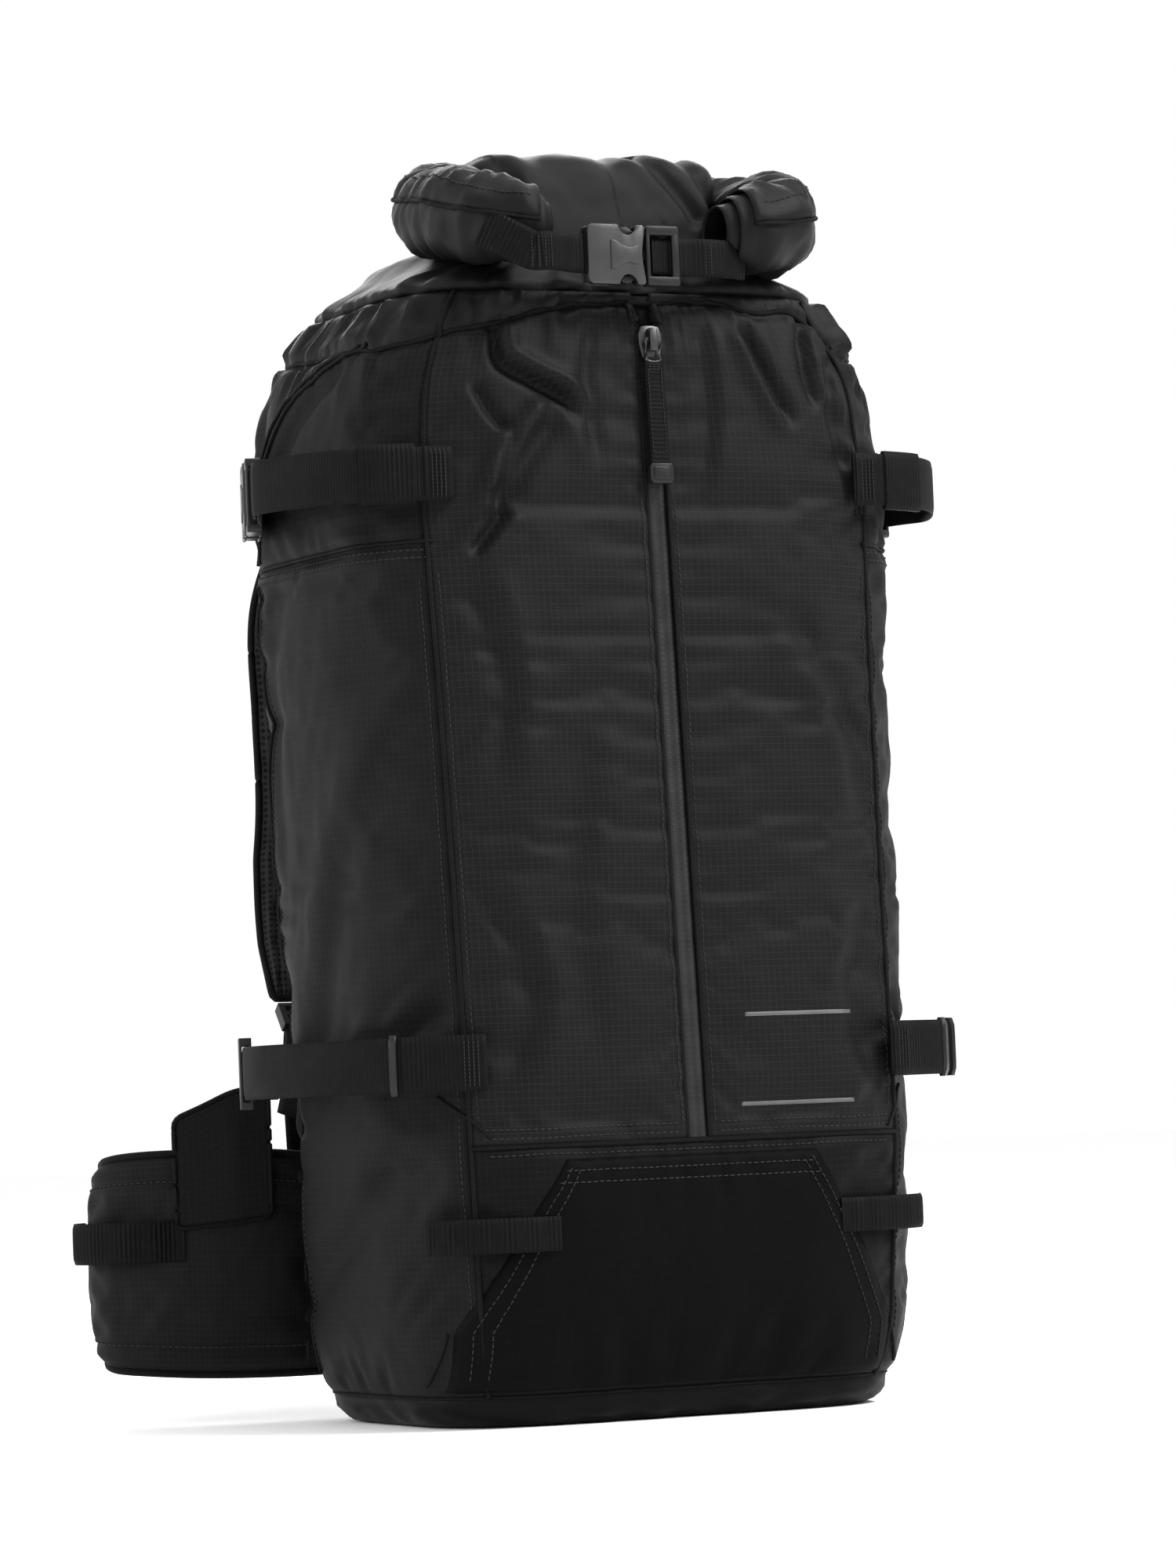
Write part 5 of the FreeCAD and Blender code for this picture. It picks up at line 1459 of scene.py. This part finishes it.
for k, a in enumerate(phi):
    # the inner turns stand a little further out of each end than the outer ones
    back = 1.0 - a / phi[-1]
    sk = np.linspace(6.0 * back, Ltot - 15.0 * back, len(cl))
    ck = np.stack([np.interp(sk, sl_, cl[:, q]) for q in range(3)], 1)
    nk = unitv(np.stack([np.interp(sk, sl_, side_n[:, q]) for q in range(3)], 1))
    kk = np.interp(sk, sl_, curv)
    for i in range(len(cl)):
        e = min(sk[i], Ltot - sk[i])
        shrink = np.interp(e, [0, 9, 22, 40], [0.66, 0.82, 0.95, 1.0])
        aa = a + 0.12 + 0.22 * math.sin(sk[i] / 40.0)
        fold = nz(sk[i] / 8.0, math.cos(aa) * 1.1 + 3, math.sin(aa) * 1.1) + 0.5 * nz(sk[i] / 4.0, math.cos(aa) * 1.6, math.sin(aa) * 1.6 + 7)
        inner_side = 0.5 - 0.5 * math.cos(aa)
        amp = 0.075 + 0.20 * min(1.0, kk[i] * 20.0) * (0.35 + 0.65 * inner_side)
        top_ = max(0.0, math.sin(aa)) ** 2
        peak = 0.24 * math.exp(-((Ltot - sk[i] - 56.0) / 15.0) ** 2) + 0.10 * math.exp(-((sk[i] - 50.0) / 16.0) ** 2)
        r = (R0 - 3.1 * a / (2 * math.pi) - 1.9 * math.exp(-a / 0.4)) * shrink * (1 + amp * fold + peak * top_)
        g[i, k] = ck[i] + nk[i] * (r * math.cos(aa)) + mid_n * (r * math.sin(aa))
g[:, :, 2] = np.minimum(g[:, :, 2], 604.5)
Ng = normals(g)
# outward means away from the line
sign = 1.0 if float(((g[20:-20, :20] - cl[20:-20, None]) * Ng[20:-20, :20]).sum()) > 0 else -1.0
if sign < 0:
    g = g[:, ::-1]
    Ng = normals(g)
roll = skin("roll_fabric", g, 1.1, [NYLON], N=Ng)
put(roll, "roll_top", ["rolled_collar"])
# bound outer edge of the roll, with its row of stitches
outer = g[:, -1] if sign < 0 else g[:, 0]
put(tubes("roll_edge_binding", [even(outer, 2.0)], 1.0, BIND, 6), "roll_top")
k2 = -4 if sign < 0 else 3
put(stitch_rows("roll_edge_stitches", [(g[2:-2, k2], Ng[2:-2, k2])]), "roll_top")

# roll straps and their stitched ends
zs = ZB
sl_path = pts3([(-66.0, -105.4), (-60.0, -107.0), (-54.0, -106.4), (-45.0, -101.5), (XB - 24.0, YB)], zs)
sr_path = pts3([(XB + 4.0, YB - 0.2), (XB + 12.8, YB), (24.0, YB - 0.3), (32.0, -98.6), (40.0, -96.6), (48.0, -93.6)], zs)
rise = [(-85.0, -91.5, zs + 13.0), (-79.5, -97.5, zs + 8.5), (-72.0, -102.6, zs + 3.4)]
sl_path = np.concatenate([np.array(rise), np.array([tuple(q) for q in sl_path])])
put(strap("roll_strap_web_left", sl_path, UPZ, 18.0, 2.2, WEB, step=0.5, rib=2.4, amp=0.26), "roll_top",
    ["roll_strap_left"])
put(strap("roll_strap_web_right", sr_path, UPZ, 18.0, 2.2, WEB, step=0.5, rib=2.4, amp=0.26), "roll_top",
    ["roll_strap_right"])
bt = []
for x0, y0, dx in ((-67.0, -105.2, 1), (-64.0, -106.3, 1), (-61.0, -107.2, 1), (-58.0, -107.3, 1), (25.0, -99.3, 1), (28.0, -99.1, 1)):
    q = np.array([(x0, y0 - 0.9, zs + h) for h in np.linspace(-7.6, 7.6, 9)])
    bt.append((q, np.broadcast_to(np.array([0.25 if x0 > 0 else -0.25, -1, 0]) / 1.03, q.shape)))
put(stitch_rows("roll_strap_tacks", bt, pitch=1.6, length=1.25, r=0.3, lift=0.2), "roll_top")
# gusset across the roll top's hinge
gg = np.zeros((60, 16, 3))
for i in range(60):
    x = -97 + 194 * i / 59.0
    for j in range(16):
        z = 519.0 + (543.0 - 519.0) * j / 15.0
        y = np.interp(z, [519, 526, 530, 536, 543], [90.2, 87.8, 87.4, 86.0, 84.6])
        wide = np.interp(z, [519, 528, 536, 543], [118.0, 118.0, 112.0, 104.0])
        x = (-97 + 194 * i / 59.0) * np.interp(z, [519, 530, 543], [1.0, 1.0, 0.82])
        y = 4.0 + (y - 4.0) * (1 - (abs(x) / wide) ** 4.2) ** (1 / 4.2) + 0.7 * nz(x / 9.0, z / 9.0, 1.5)
        y -= 1.6 * max(0.0, abs(x) - 88.0) / 10.0
        gg[59 - i, j] = (x, y, z)
gus = skin("roll_hinge_gusset", gg, 1.0, [NYLON])
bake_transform(gus)

# mouth of the bag: the stiffened hem, and the pocket divider
co = []
for z, ins in ((506.0, 4.2), (512, 4.0), (519, 4.0), (525.3, 4.2)):
    co.append([on_bag(u, v, z, ins) for u, v in UV])
co = np.array(co).transpose(1, 0, 2)
V1 = co
cin = np.array([[on_bag(u, v, z, 6.2) for z in (506.0, 512, 519, 525.3)] for u, v in UV])
nn = len(UV)
V = np.concatenate([V1.reshape(-1, 3), cin.reshape(-1, 3)])
F = grid_faces(nn, 4, 0, wrap=True) + grid_faces(nn, 4, nn * 4, flip=True, wrap=True)
for i in range(nn):
    i2 = (i + 1) % nn
    F.append((i * 4 + 3, i2 * 4 + 3, nn * 4 + i2 * 4 + 3, nn * 4 + i * 4 + 3))
    F.append((i2 * 4, i * 4, nn * 4 + i * 4, nn * 4 + i2 * 4))
uvc = np.zeros((len(V), 2))
uvc[:nn * 4] = np.stack(np.meshgrid(sN, [0, 6, 13, 19.5], indexing="ij"), 2).reshape(-1, 2)
uvc[nn * 4:] = uvc[:nn * 4]
put(link_mesh("mouth_hem", V, F, [WEB_S], uvc), "pack", ["collar"])
dlo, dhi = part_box("pocket_divider")
gd = np.zeros((50, 90, 3))
for i in range(50):
    for j in range(90):
        x = (dlo.x + (dhi.x - dlo.x) * i / 49.0) / MM
        z = (dlo.z + (dhi.z - dlo.z) * j / 89.0) / MM
        e = min(i, 49 - i, j, 89 - j) / 5.0
        gd[i, j] = (x, -64.0 + 1.4 * nz(x / 30.0, z / 40.0, 6.0) * min(1, e), z)
put(skin("pocket_divider_fabric", gd, 0.9, [LINING]), "pack", ["pocket_divider"])

# ------------------------------------------------------------------ padded pieces
def pillow(M_, N_, T, power=10.0, ends=(1, 1, 1, 1)):
    """Outer and inner faces of a pad from its middle surface; they meet along the edge."""
    nu, nv = M_.shape[:2]
    a = np.abs(np.linspace(-1, 1, nu))[:, None]
    b = np.abs(np.linspace(-1, 1, nv))[None]
    e = np.sqrt(np.maximum(0, 1 - a ** power)) * np.sqrt(np.maximum(0, 1 - b ** power))
    return M_ + N_ * (T / 2 * e)[..., None], M_ - N_ * (T / 2 * e)[..., None]


def pillow_mesh(out, inn):
    nu, nv = out.shape[:2]
    idx = np.arange(nu * nv).reshape(nu, nv)
    V = [p for p in out.reshape(-1, 3)]
    jdx = idx.copy()
    for i in range(1, nu - 1):
        for j in range(1, nv - 1):
            jdx[i, j] = len(V)
            V.append(inn[i, j])
    F = []
    for i in range(nu - 1):
        for j in range(nv - 1):
            F.append((idx[i, j], idx[i + 1, j], idx[i + 1, j + 1], idx[i, j + 1]))
            F.append((jdx[i, j], jdx[i, j + 1], jdx[i + 1, j + 1], jdx[i + 1, j]))
    return np.array(V), F, idx, jdx


PADS = []


def plan_pad(name, M_, T, seams_u=(), seams_v=(), power=10.0, N_=None, held_inner=False):
    """Registers a pad; seams are fractions of the pad's length and width that stay sewn down."""
    N_ = normals(M_) if N_ is None else N_
    out, inn = pillow(M_, N_, T, power)
    V, F, idx, jdx = pillow_mesh(out, inn)
    nu, nv = M_.shape[:2]
    pins = set(idx[0]) | set(idx[-1]) | set(idx[:, 0]) | set(idx[:, -1])
    for s in seams_u:
        pins |= set(idx[int(round(s * (nu - 1)))])
    for s in seams_v:
        pins |= set(idx[:, int(round(s * (nv - 1)))])
    if held_inner:
        pins |= set(jdx.reshape(-1))
    PADS.append(dict(name=name, V=V, F=F, idx=idx, jdx=jdx, pins=pins, N=N_))


def bilinear_grid(fn, nu, nv):
    return np.array([[fn(i / (nu - 1), j / (nv - 1)) for j in range(nv)] for i in range(nu)], float)


blo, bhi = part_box("back_pad")
llo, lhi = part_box("lumbar_pad")


def back_pad_mid(a, b):
    # a runs from +X to -X, so that the outer face looks along +Y
    z = (blo.z + (bhi.z - blo.z) * b) / MM
    half = np.interp(z, [118, 124, 144, 428, 466, 484, 488], [78, 91, 97, 97, 88, 66, 52])
    return ((1 - 2 * a) * half, (blo.y + bhi.y) / 2 / MM, z)


def lumbar_mid(a, b):
    z = (llo.z + (lhi.z - llo.z) * b) / MM
    half = np.interp(z, [29, 41, 101, 113], [82, 91, 91, 82])
    return ((1 - 2 * a) * half, (llo.y + lhi.y) / 2 / MM, z)


plan_pad("back_pad_fabric", bilinear_grid(back_pad_mid, 41, 73), 11.0, seams_u=(0.44, 0.56), seams_v=(0.34, 0.67), power=12)
plan_pad("lumbar_pad_fabric", bilinear_grid(lumbar_mid, 37, 19), 21.0, seams_u=(0.36, 0.64), power=7)

S_PATH = np.array([(46, 110.0, 440), (50, 130.0, 449), (56, 152.0, 450), (64, 172.0, 428), (71, 180.0, 395), (71, 180.0, 348),
                   (71, 180.0, 300), (80, 171.0, 250), (90, 152.0, 205)], float)
sp = smooth_path(S_PATH, 5.0)
ts = unitv(np.gradient(sp, axis=0))
S_N = unitv(np.stack([np.zeros(len(ts)), -ts[:, 2], ts[:, 1]], 1))
ss = np.linspace(0, 1, len(sp))
wid = np.interp(ss, [0, 0.75, 0.9, 1.0], [58, 56, 46, 33])


def shoulder(sg):
    nw = 13
    G = np.zeros((nw, len(sp), 3))
    for k in range(nw):
        f = -1 + 2 * k / (nw - 1)
        G[k] = sp + np.array([1.0, 0, 0]) * (wid / 2 * f)[:, None]
    G[..., 0] *= sg
    N = np.broadcast_to(S_N[None], G.shape).copy()
    if sg > 0:
        G = G[::-1]
    n = normals(G)
    if (n * N).sum() < 0:
        G = G[::-1]
    return G, N


for side, sg in (("left", -1), ("right", 1)):
    G, N = shoulder(sg)
    plan_pad("shoulder_pad_fabric_" + side, G, 11.0, seams_u=(0.17, 0.83), power=8, N_=normals(G))

WING = np.array([(-100.4, 108.0, 22, 126), (-128.0, 111.5, 22, 129), (-160.0, 118.0, 23, 130), (-186.0, 129.0, 25, 130),
                 (-199.0, 146.0, 27, 128), (-192.0, 172.0, 31, 123), (-176.0, 205.0, 38, 116), (-158.0, 238.0, 46, 108),
                 (-134.0, 272.0, 54, 98)], float)
wp = smooth_path(WING, 5.0)


def wing(side):
    nh = 17
    G = np.zeros((len(wp), nh, 3))
    for j in range(nh):
        f = j / (nh - 1)
        G[:, j, :2] = wp[:, :2]
        G[:, j, 2] = wp[:, 2] + (wp[:, 3] - wp[:, 2]) * f
    if side == "right":
        G = mir(G)
        G = G @ FLARE[:3, :3].T + FLARE[:3, 3]
        G = G[::-1]
    # outer face looks away from the waist
    return G[::-1] if False else G


for side in ("left", "right"):
    G = wing(side)
    n = normals(G)
    mid = G[len(G) // 2, 8]
    outw = mid - np.array([0, 200.0, 76.0])
    if n[len(G) // 2, 8] @ outw < 0:
        G = G[::-1]
    plan_pad("hip_wing_fabric_" + side, G, 12.5, seams_v=(0.12, 0.88), power=9)

off, VV, FF, PP = 0, [], [], []
for p in PADS:
    VV.append(p["V"])
    FF += [tuple(off + i for i in f) for f in p["F"]]
    PP += [off + int(i) for i in p["pins"]]
    off += len(p["V"])
res = run_cloth("pads_cloth", np.concatenate(VV), FF, PP, 3.2, -0.012, 14, 2.6, tension=14.0, bending=0.8)
off = 0
for p in PADS:
    p["S"] = res[off:off + len(p["V"])]
    off += len(p["V"])

PADG = {}


def finish_pad(p, body, nodes, mat_out, mat_in, wr=0.35, seed=0.0, quilt_u=(), quilt_v=(), k=3):
    out = p["S"][p["idx"].reshape(-1)].reshape(p["idx"].shape + (3,))
    inn = p["S"][p["jdx"].reshape(-1)].reshape(p["idx"].shape + (3,))
    out = upsample(upsample(out, k, 0), k, 1)
    inn = upsample(upsample(inn, k, 0), k, 1)
    nu, nv = out.shape[:2]
    uvg = arc_uv(out)
    No, Ni = normals(out), -normals(inn)
    em = edge_mask((nu, nv), 4, 4)
    L = uvg[..., 0] / uvg[..., 0].max()
    W = uvg[..., 1] / uvg[..., 1].max()
    for grid, nrm in ((out, No), (inn, Ni)):
        d = np.vectorize(lambda a, b: nz(a / 14.0, b / 14.0, seed) + 0.5 * nz(a / 6.0, b / 6.0, seed + 5))(uvg[..., 0], uvg[..., 1]) * wr
        for q in quilt_u:
            d = d - 1.3 * np.exp(-((uvg[..., 0] - q * uvg[..., 0].max()) / 1.9) ** 2)
        for q in quilt_v:
            d = d - 1.3 * np.exp(-((uvg[..., 1] - q * uvg[..., 1].max()) / 1.9) ** 2)
        grid += nrm * (d * em)[..., None]
    V = np.concatenate([out.reshape(-1, 3), inn.reshape(-1, 3)])
    fo = grid_faces(nu, nv)
    fi = grid_faces(nu, nv, nu * nv, flip=True)
    # the two faces share their edge
    ids_ = np.arange(nu * nv).reshape(nu, nv)
    border = set(ids_[0]) | set(ids_[-1]) | set(ids_[:, 0]) | set(ids_[:, -1])
    fi = [tuple((i - nu * nv) if (i - nu * nv) in border else i for i in f) for f in fi]
    used = sorted(set(i for f in fo + fi for i in f))
    remap = {o: n_ for n_, o in enumerate(used)}
    uv2 = np.concatenate([uvg.reshape(-1, 2)] * 2)[used]
    V = V[used]
    faces = [tuple(remap[i] for i in f) for f in fo + fi]
    ob = link_mesh(p["name"], V, faces, [mat_out, mat_in], uv2, [0] * len(fo) + [1] * len(fi))
    put(ob, body, nodes)
    PADG[p["name"]] = (out, inn, No, Ni)
    edge = np.concatenate([out[:, 0], out[-1, 1:], out[-2::-1, -1], out[0, -2:0:-1]])
    return ob, edge


def binding(name, edge, body, r=2.3, mat=BIND):
    e = np.concatenate([edge, edge[:1]])
    ker_ = np.ones(5) / 5
    pe = np.concatenate([e[-3:-1], e[:-1], e[:2]])
    q = np.stack([np.convolve(pe[:, c], ker_, "valid") for c in range(3)], 1)
    q = even(np.concatenate([q, q[:1]]), 2.4)[:-1]
    v, f, u = tube_data(q, r, 9, 0, closed=True)
    return put(link_mesh(name, v, f, mat, u), body)


byname = {p["name"]: p for p in PADS}
ob, e = finish_pad(byname["back_pad_fabric"], "pack", ["back_pad"], MESH, PADF, 0.5, 2.0,
                   quilt_u=(0.44, 0.56), quilt_v=(0.34, 0.67))
binding("back_pad_binding", e, "pack", 1.9)
ob, e = finish_pad(byname["lumbar_pad_fabric"], "pack", ["lumbar_pad"], MESH, PADF, 0.5, 3.0,
                   quilt_u=(0.36, 0.64))
binding("lumbar_pad_binding", e, "pack", 2.0)
for side in ("left", "right"):
    ob, e = finish_pad(byname["shoulder_pad_fabric_" + side], "pack", ["shoulder_pad_" + side], PADF, MESH,
                       0.35, 6.0, quilt_u=(0.17, 0.83))
    binding("shoulder_pad_binding_" + side, e, "pack", 1.9)
    ob, e = finish_pad(byname["hip_wing_fabric_" + side], "hip_wing_" + side, ["hip_wing_" + side], PADF,
                       MESH, 0.6, 9.0, quilt_v=(0.12, 0.88))
    binding("hip_wing_binding_" + side, e, "hip_wing_" + side, 2.1)
rows = []
for nm, ks, axis in (("back_pad_fabric", (0.44, 0.56), 0), ("back_pad_fabric", (0.34, 0.67), 1), ("lumbar_pad_fabric", (0.36, 0.64), 0),
                     ("shoulder_pad_fabric_left", (0.17, 0.83), 0), ("shoulder_pad_fabric_right", (0.17, 0.83), 0)):
    out, inn, No, Ni = PADG[nm]
    n = out.shape[axis]
    for q in ks:
        k = int(round(q * (n - 1)))
        rows.append((out[k][4:-4], No[k][4:-4]) if axis == 0 else (out[4:-4, k], No[4:-4, k]))
put(stitch_rows("pad_stitches", rows, lift=0.5), "pack")

# webbing down the middle of each shoulder pad, in two lengths either side of its ladder, and the load lifters
for side, sg in (("left", -1), ("right", 1)):
    c = sp.copy()
    c = c[int(len(c) * 0.18):int(len(c) * 0.97)] + S_N[int(len(c) * 0.18):int(len(c) * 0.97)] * 0
    nn_ = S_N[int(len(sp) * 0.18):int(len(sp) * 0.97)]
    c = c + nn_ * 7.4
    c[:, 0] *= sg
    skip = (c[:, 2] > 300) & (c[:, 2] < 392)
    top, bot = c[c[:, 2] >= 388], c[c[:, 2] <= 306]
    for k, q in enumerate((top, bot)):
        if len(q) > 3:
            put(strap("shoulder_web_%s_%d" % (side, k + 1), q, (1, 0, 0), 20.0, 1.8, WEB, step=0.8, rib=2.4, amp=0.14), "pack")
    L = np.array([(sg * 46, 98.6, 502), (sg * 52, 128, 482.5), (sg * 58, 158, 459.5), (sg * 64, 184.0, 437)], float)
    L[1:3, 2] -= np.array([1.5, 1.5])
    put(strap("load_lifter_" + side, L, (1, 0, 0), 20.0, 2.0, WEB_S, step=0.8, rib=1.4, amp=0.06), "pack",
        ["load_lifter_straps"] if side == "left" else [])
    L = np.array([(sg * 93, 143.0, 190.0), (sg * 101, 127, 174), (sg * 109, 112, 158), (sg * 117, 99.2, 146)], float)
    put(strap("shoulder_lower_web_" + side, L, (1, 0, 0), 20.0, 2.0, WEB_S, step=0.8, rib=1.4, amp=0.06), "pack",
        ["shoulder_webbing"] if side == "left" else [])
    # loose tail below the adjuster
    L = np.array([(sg * 91, 150.5, 196), (sg * 92, 152.0, 184), (sg * 95, 147.0, 160), (sg * 97, 140.5, 134), (sg * 98, 136, 112)], float)
    put(strap("shoulder_tail_" + side, L, (1, 0, 0), 19.0, 1.8, WEB_S, step=0.8, rib=1.4, amp=0.06), "pack")
haul = np.array([(-34, 98.6, 499.5), (-33.5, 103.0, 499.5), (-27, 113.5, 499.5), (-16, 118.0, 499.5), (0, 118.6, 499.5),
                 (16, 118.0, 499.5), (27, 113.5, 499.5), (33.5, 103.0, 499.5), (34, 98.6, 499.5)], float)
put(strap("haul_loop_web", haul, UPZ, 20.0, 3.0, WEB, step=0.7, rib=2.4, amp=0.2), "pack", ["haul_loop"])

# sternum strap
for side, x0, x1, body in (("left", -76.0, -24.0, "sternum_left"), ("right", 15.0, 76.0, "sternum_right")):
    q = np.array([(x0, 194.65, 348), ((x0 + x1) / 2, 194.9, 348), (x1, 194.65, 348)], float)
    put(strap("sternum_web_" + side, q, UPZ, 18.0, 2.0, WEB, step=0.6, rib=2.2, amp=0.16), body,
        ["sternum_webbing_" + side])

# hip belt: webbing, gear loops, stabiliser flaps and the fabric that joins the wings to the lumbar pad
hw = pts3([(-140.0, 262.5), (-133.4, 272.9), (-112.0, 292.0), (-92.0, 300.0), (-70, 300.2), (-38.0, 300.0)], 76.0)
put(strap("hip_web_left", hw, UPZ, 38.0, 2.2, WEB_S, step=0.8, rib=1.4, amp=0.08), "hip_wing_left", ["hip_webbing_left"])
hw = mir(pts3([(-140.0, 262.5), (-133.4, 272.9), (-112.0, 292.0), (-92.0, 300.0), (-60, 300.2), (-25.0, 300.0)], 76.0))
hw = hw @ FLARE[:3, :3].T + FLARE[:3, 3]
put(strap("hip_web_right", hw, UPZ, 38.0, 2.2, WEB_S, step=0.8, rib=1.4, amp=0.08), "hip_wing_right", ["hip_webbing_right"])
gl = np.array([(-172.0, 113.2, 88), (-179.2, 116.3, 88), (-190.0, 118.6, 88), (-204.5, 128.5, 88), (-213.5, 146.0, 88), (-210.0, 164.0, 88),
               (-201.6, 173.6, 88)], float)
for side in ("left", "right"):
    q = gl.copy()
    fl = np.array([(-131.0, 101.5, 98, 162), (-140, 103.2, 97, 160.6), (-149.0, 104.8, 96, 159), (-162, 108.6, 95, 153), (-176.0, 113.0, 94, 147)], float)
    flp = smooth_path(fl, 2.0)
    G = np.zeros((len(flp), 34, 3))
    for j in range(34):
        f = j / 33.0
        G[:, j, :2] = flp[:, :2]
        G[:, j, 2] = flp[:, 2] + (flp[:, 3] - flp[:, 2]) * f
    if side == "right":
        q = mir(q) @ FLARE[:3, :3].T + FLARE[:3, 3]
        G = (mir(G) @ FLARE[:3, :3].T + FLARE[:3, 3])[::-1]
    put(strap("hip_gear_loop_web_" + side, q, UPZ, 20.0, 2.2, WEB, step=0.5, rib=2.4, amp=0.3), "hip_wing_" + side,
        ["hip_gear_loop_" + side])
    n = normals(G)
    if n[10, 10] @ (np.array([G[10, 10, 0], -1.0, 0])) < 0:
        G = G[::-1]
        n = normals(G)
    dd = np.vectorize(lambda a, b: nz(a / 16.0, b / 18.0, 2.5))(G[..., 0], G[..., 2]) * 0.5
    G = G + n * dd[..., None]
    put(skin("stabiliser_flap_fabric_" + side, G, 1.6, [RIP_SIDE]), "hip_wing_" + side, ["stabiliser_flap_" + side])
    eg = np.concatenate([G[:, 0], G[-1, 1:], G[-2::-1, -1], G[0, -2:0:-1]])
    binding("stabiliser_flap_binding_" + side, eg, "hip_wing_" + side, 1.3)
    # stitched webbing along the wing
    rowsw = []
    out, inn, No, Ni = PADG["hip_wing_fabric_" + side]
    nv = out.shape[1]
    for f in (0.12, 0.88):
        k = int(round(f * (nv - 1)))
        rowsw.append((out[4:-4, k], No[4:-4, k]))
    put(stitch_rows("hip_wing_stitches_" + side, rowsw, lift=0.5), "hip_wing_" + side)
    sg = -1 if side == "left" else 1
    g = np.zeros((16, 26, 3))
    for i in range(16):
        x = sg * (88.0 + 26.0 * i / 15.0)
        for j in range(26):
            zc = 26 + (120 - 26) * j / 25.0
            y = 108.0 + (1.6 if True else 0) * nz(x / 8.0, zc / 14.0, 3.0)
            if abs(x) > 104:
                y += 0.12 * (abs(x) - 104)
            g[i, j] = (x, y, zc)
    if sg > 0:
        g = g[::-1]
    br = skin("hip_bridge_" + side, g, 4.0, [PADF])
    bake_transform(br)

# list the CAD nodes that still show; the ones softened above were given their materials there
left = [o.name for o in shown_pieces() if "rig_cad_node" in o]
print("cad nodes showing:", left)

# ------------------------------------------------------------------ room and light
def stage_material(name, value, rough):
    n = Nodes(name)
    co_ = n.coord("Object")
    nn2 = n.noise(co_, 3.0, 2.0)
    n.link(n.mix(nn2, grey(value), grey(min(1.0, value * 1.02))), n.b.inputs["Base Color"])
    n.b.inputs["Roughness"].default_value = rough
    return n.m


nfl = 96
rr_ = [0.0] + list(np.geomspace(0.3, 16.0, 12))
V, F = [(0, 0, -0.4)], []
for r in rr_[1:]:
    for k in range(nfl):
        a = 2 * math.pi * k / nfl
        V.append((r * 1000 * math.cos(a), r * 1000 * math.sin(a), -0.4))
for k in range(nfl):
    F.append((0, 1 + k, 1 + (k + 1) % nfl))
for q in range(len(rr_) - 2):
    for k in range(nfl):
        a, b = 1 + q * nfl + k, 1 + q * nfl + (k + 1) % nfl
        F.append((a, a + nfl, b + nfl, b))
floor = link_mesh("floor", V, F, stage_material("floor_pale", 0.975, 0.7))

world = bpy.data.worlds.new("world")
SCENE.world = world
world.use_nodes = True
bg = world.node_tree.nodes["Background"]
bg.inputs["Color"].default_value = (1.0, 1.0, 1.0, 1.0)
bg.inputs["Strength"].default_value = 1.0


def area(name, loc_, target, size, power, size_y=None):
    l = bpy.data.lights.new(name, "AREA")
    l.energy = power
    l.size = size
    if size_y:
        l.shape, l.size_y = "RECTANGLE", size_y
    o = bpy.data.objects.new(name, l)
    o.location = loc_
    o.rotation_euler = (Vector(target) - Vector(loc_)).to_track_quat("-Z", "Y").to_euler()
    SCENE.collection.objects.link(o)
    return o


area("key", (1.5, -1.6, 2.6), (0, 0, 0.35), 0.9, 125.0)
area("fill", (-2.3, -1.6, 1.0), (0, 0, 0.3), 1.6, 12.0)
area("top", (0.2, 0.2, 2.8), (0, 0, 0.4), 1.2, 16.0)
area("rear", (0.9, 2.4, 1.8), (0, 0.1, 0.3), 1.8, 45.0)
area("rear_left", (-2.4, 1.0, 1.2), (0, 0.1, 0.3), 1.4, 30.0)
SCENE.view_settings.view_transform = "Standard"
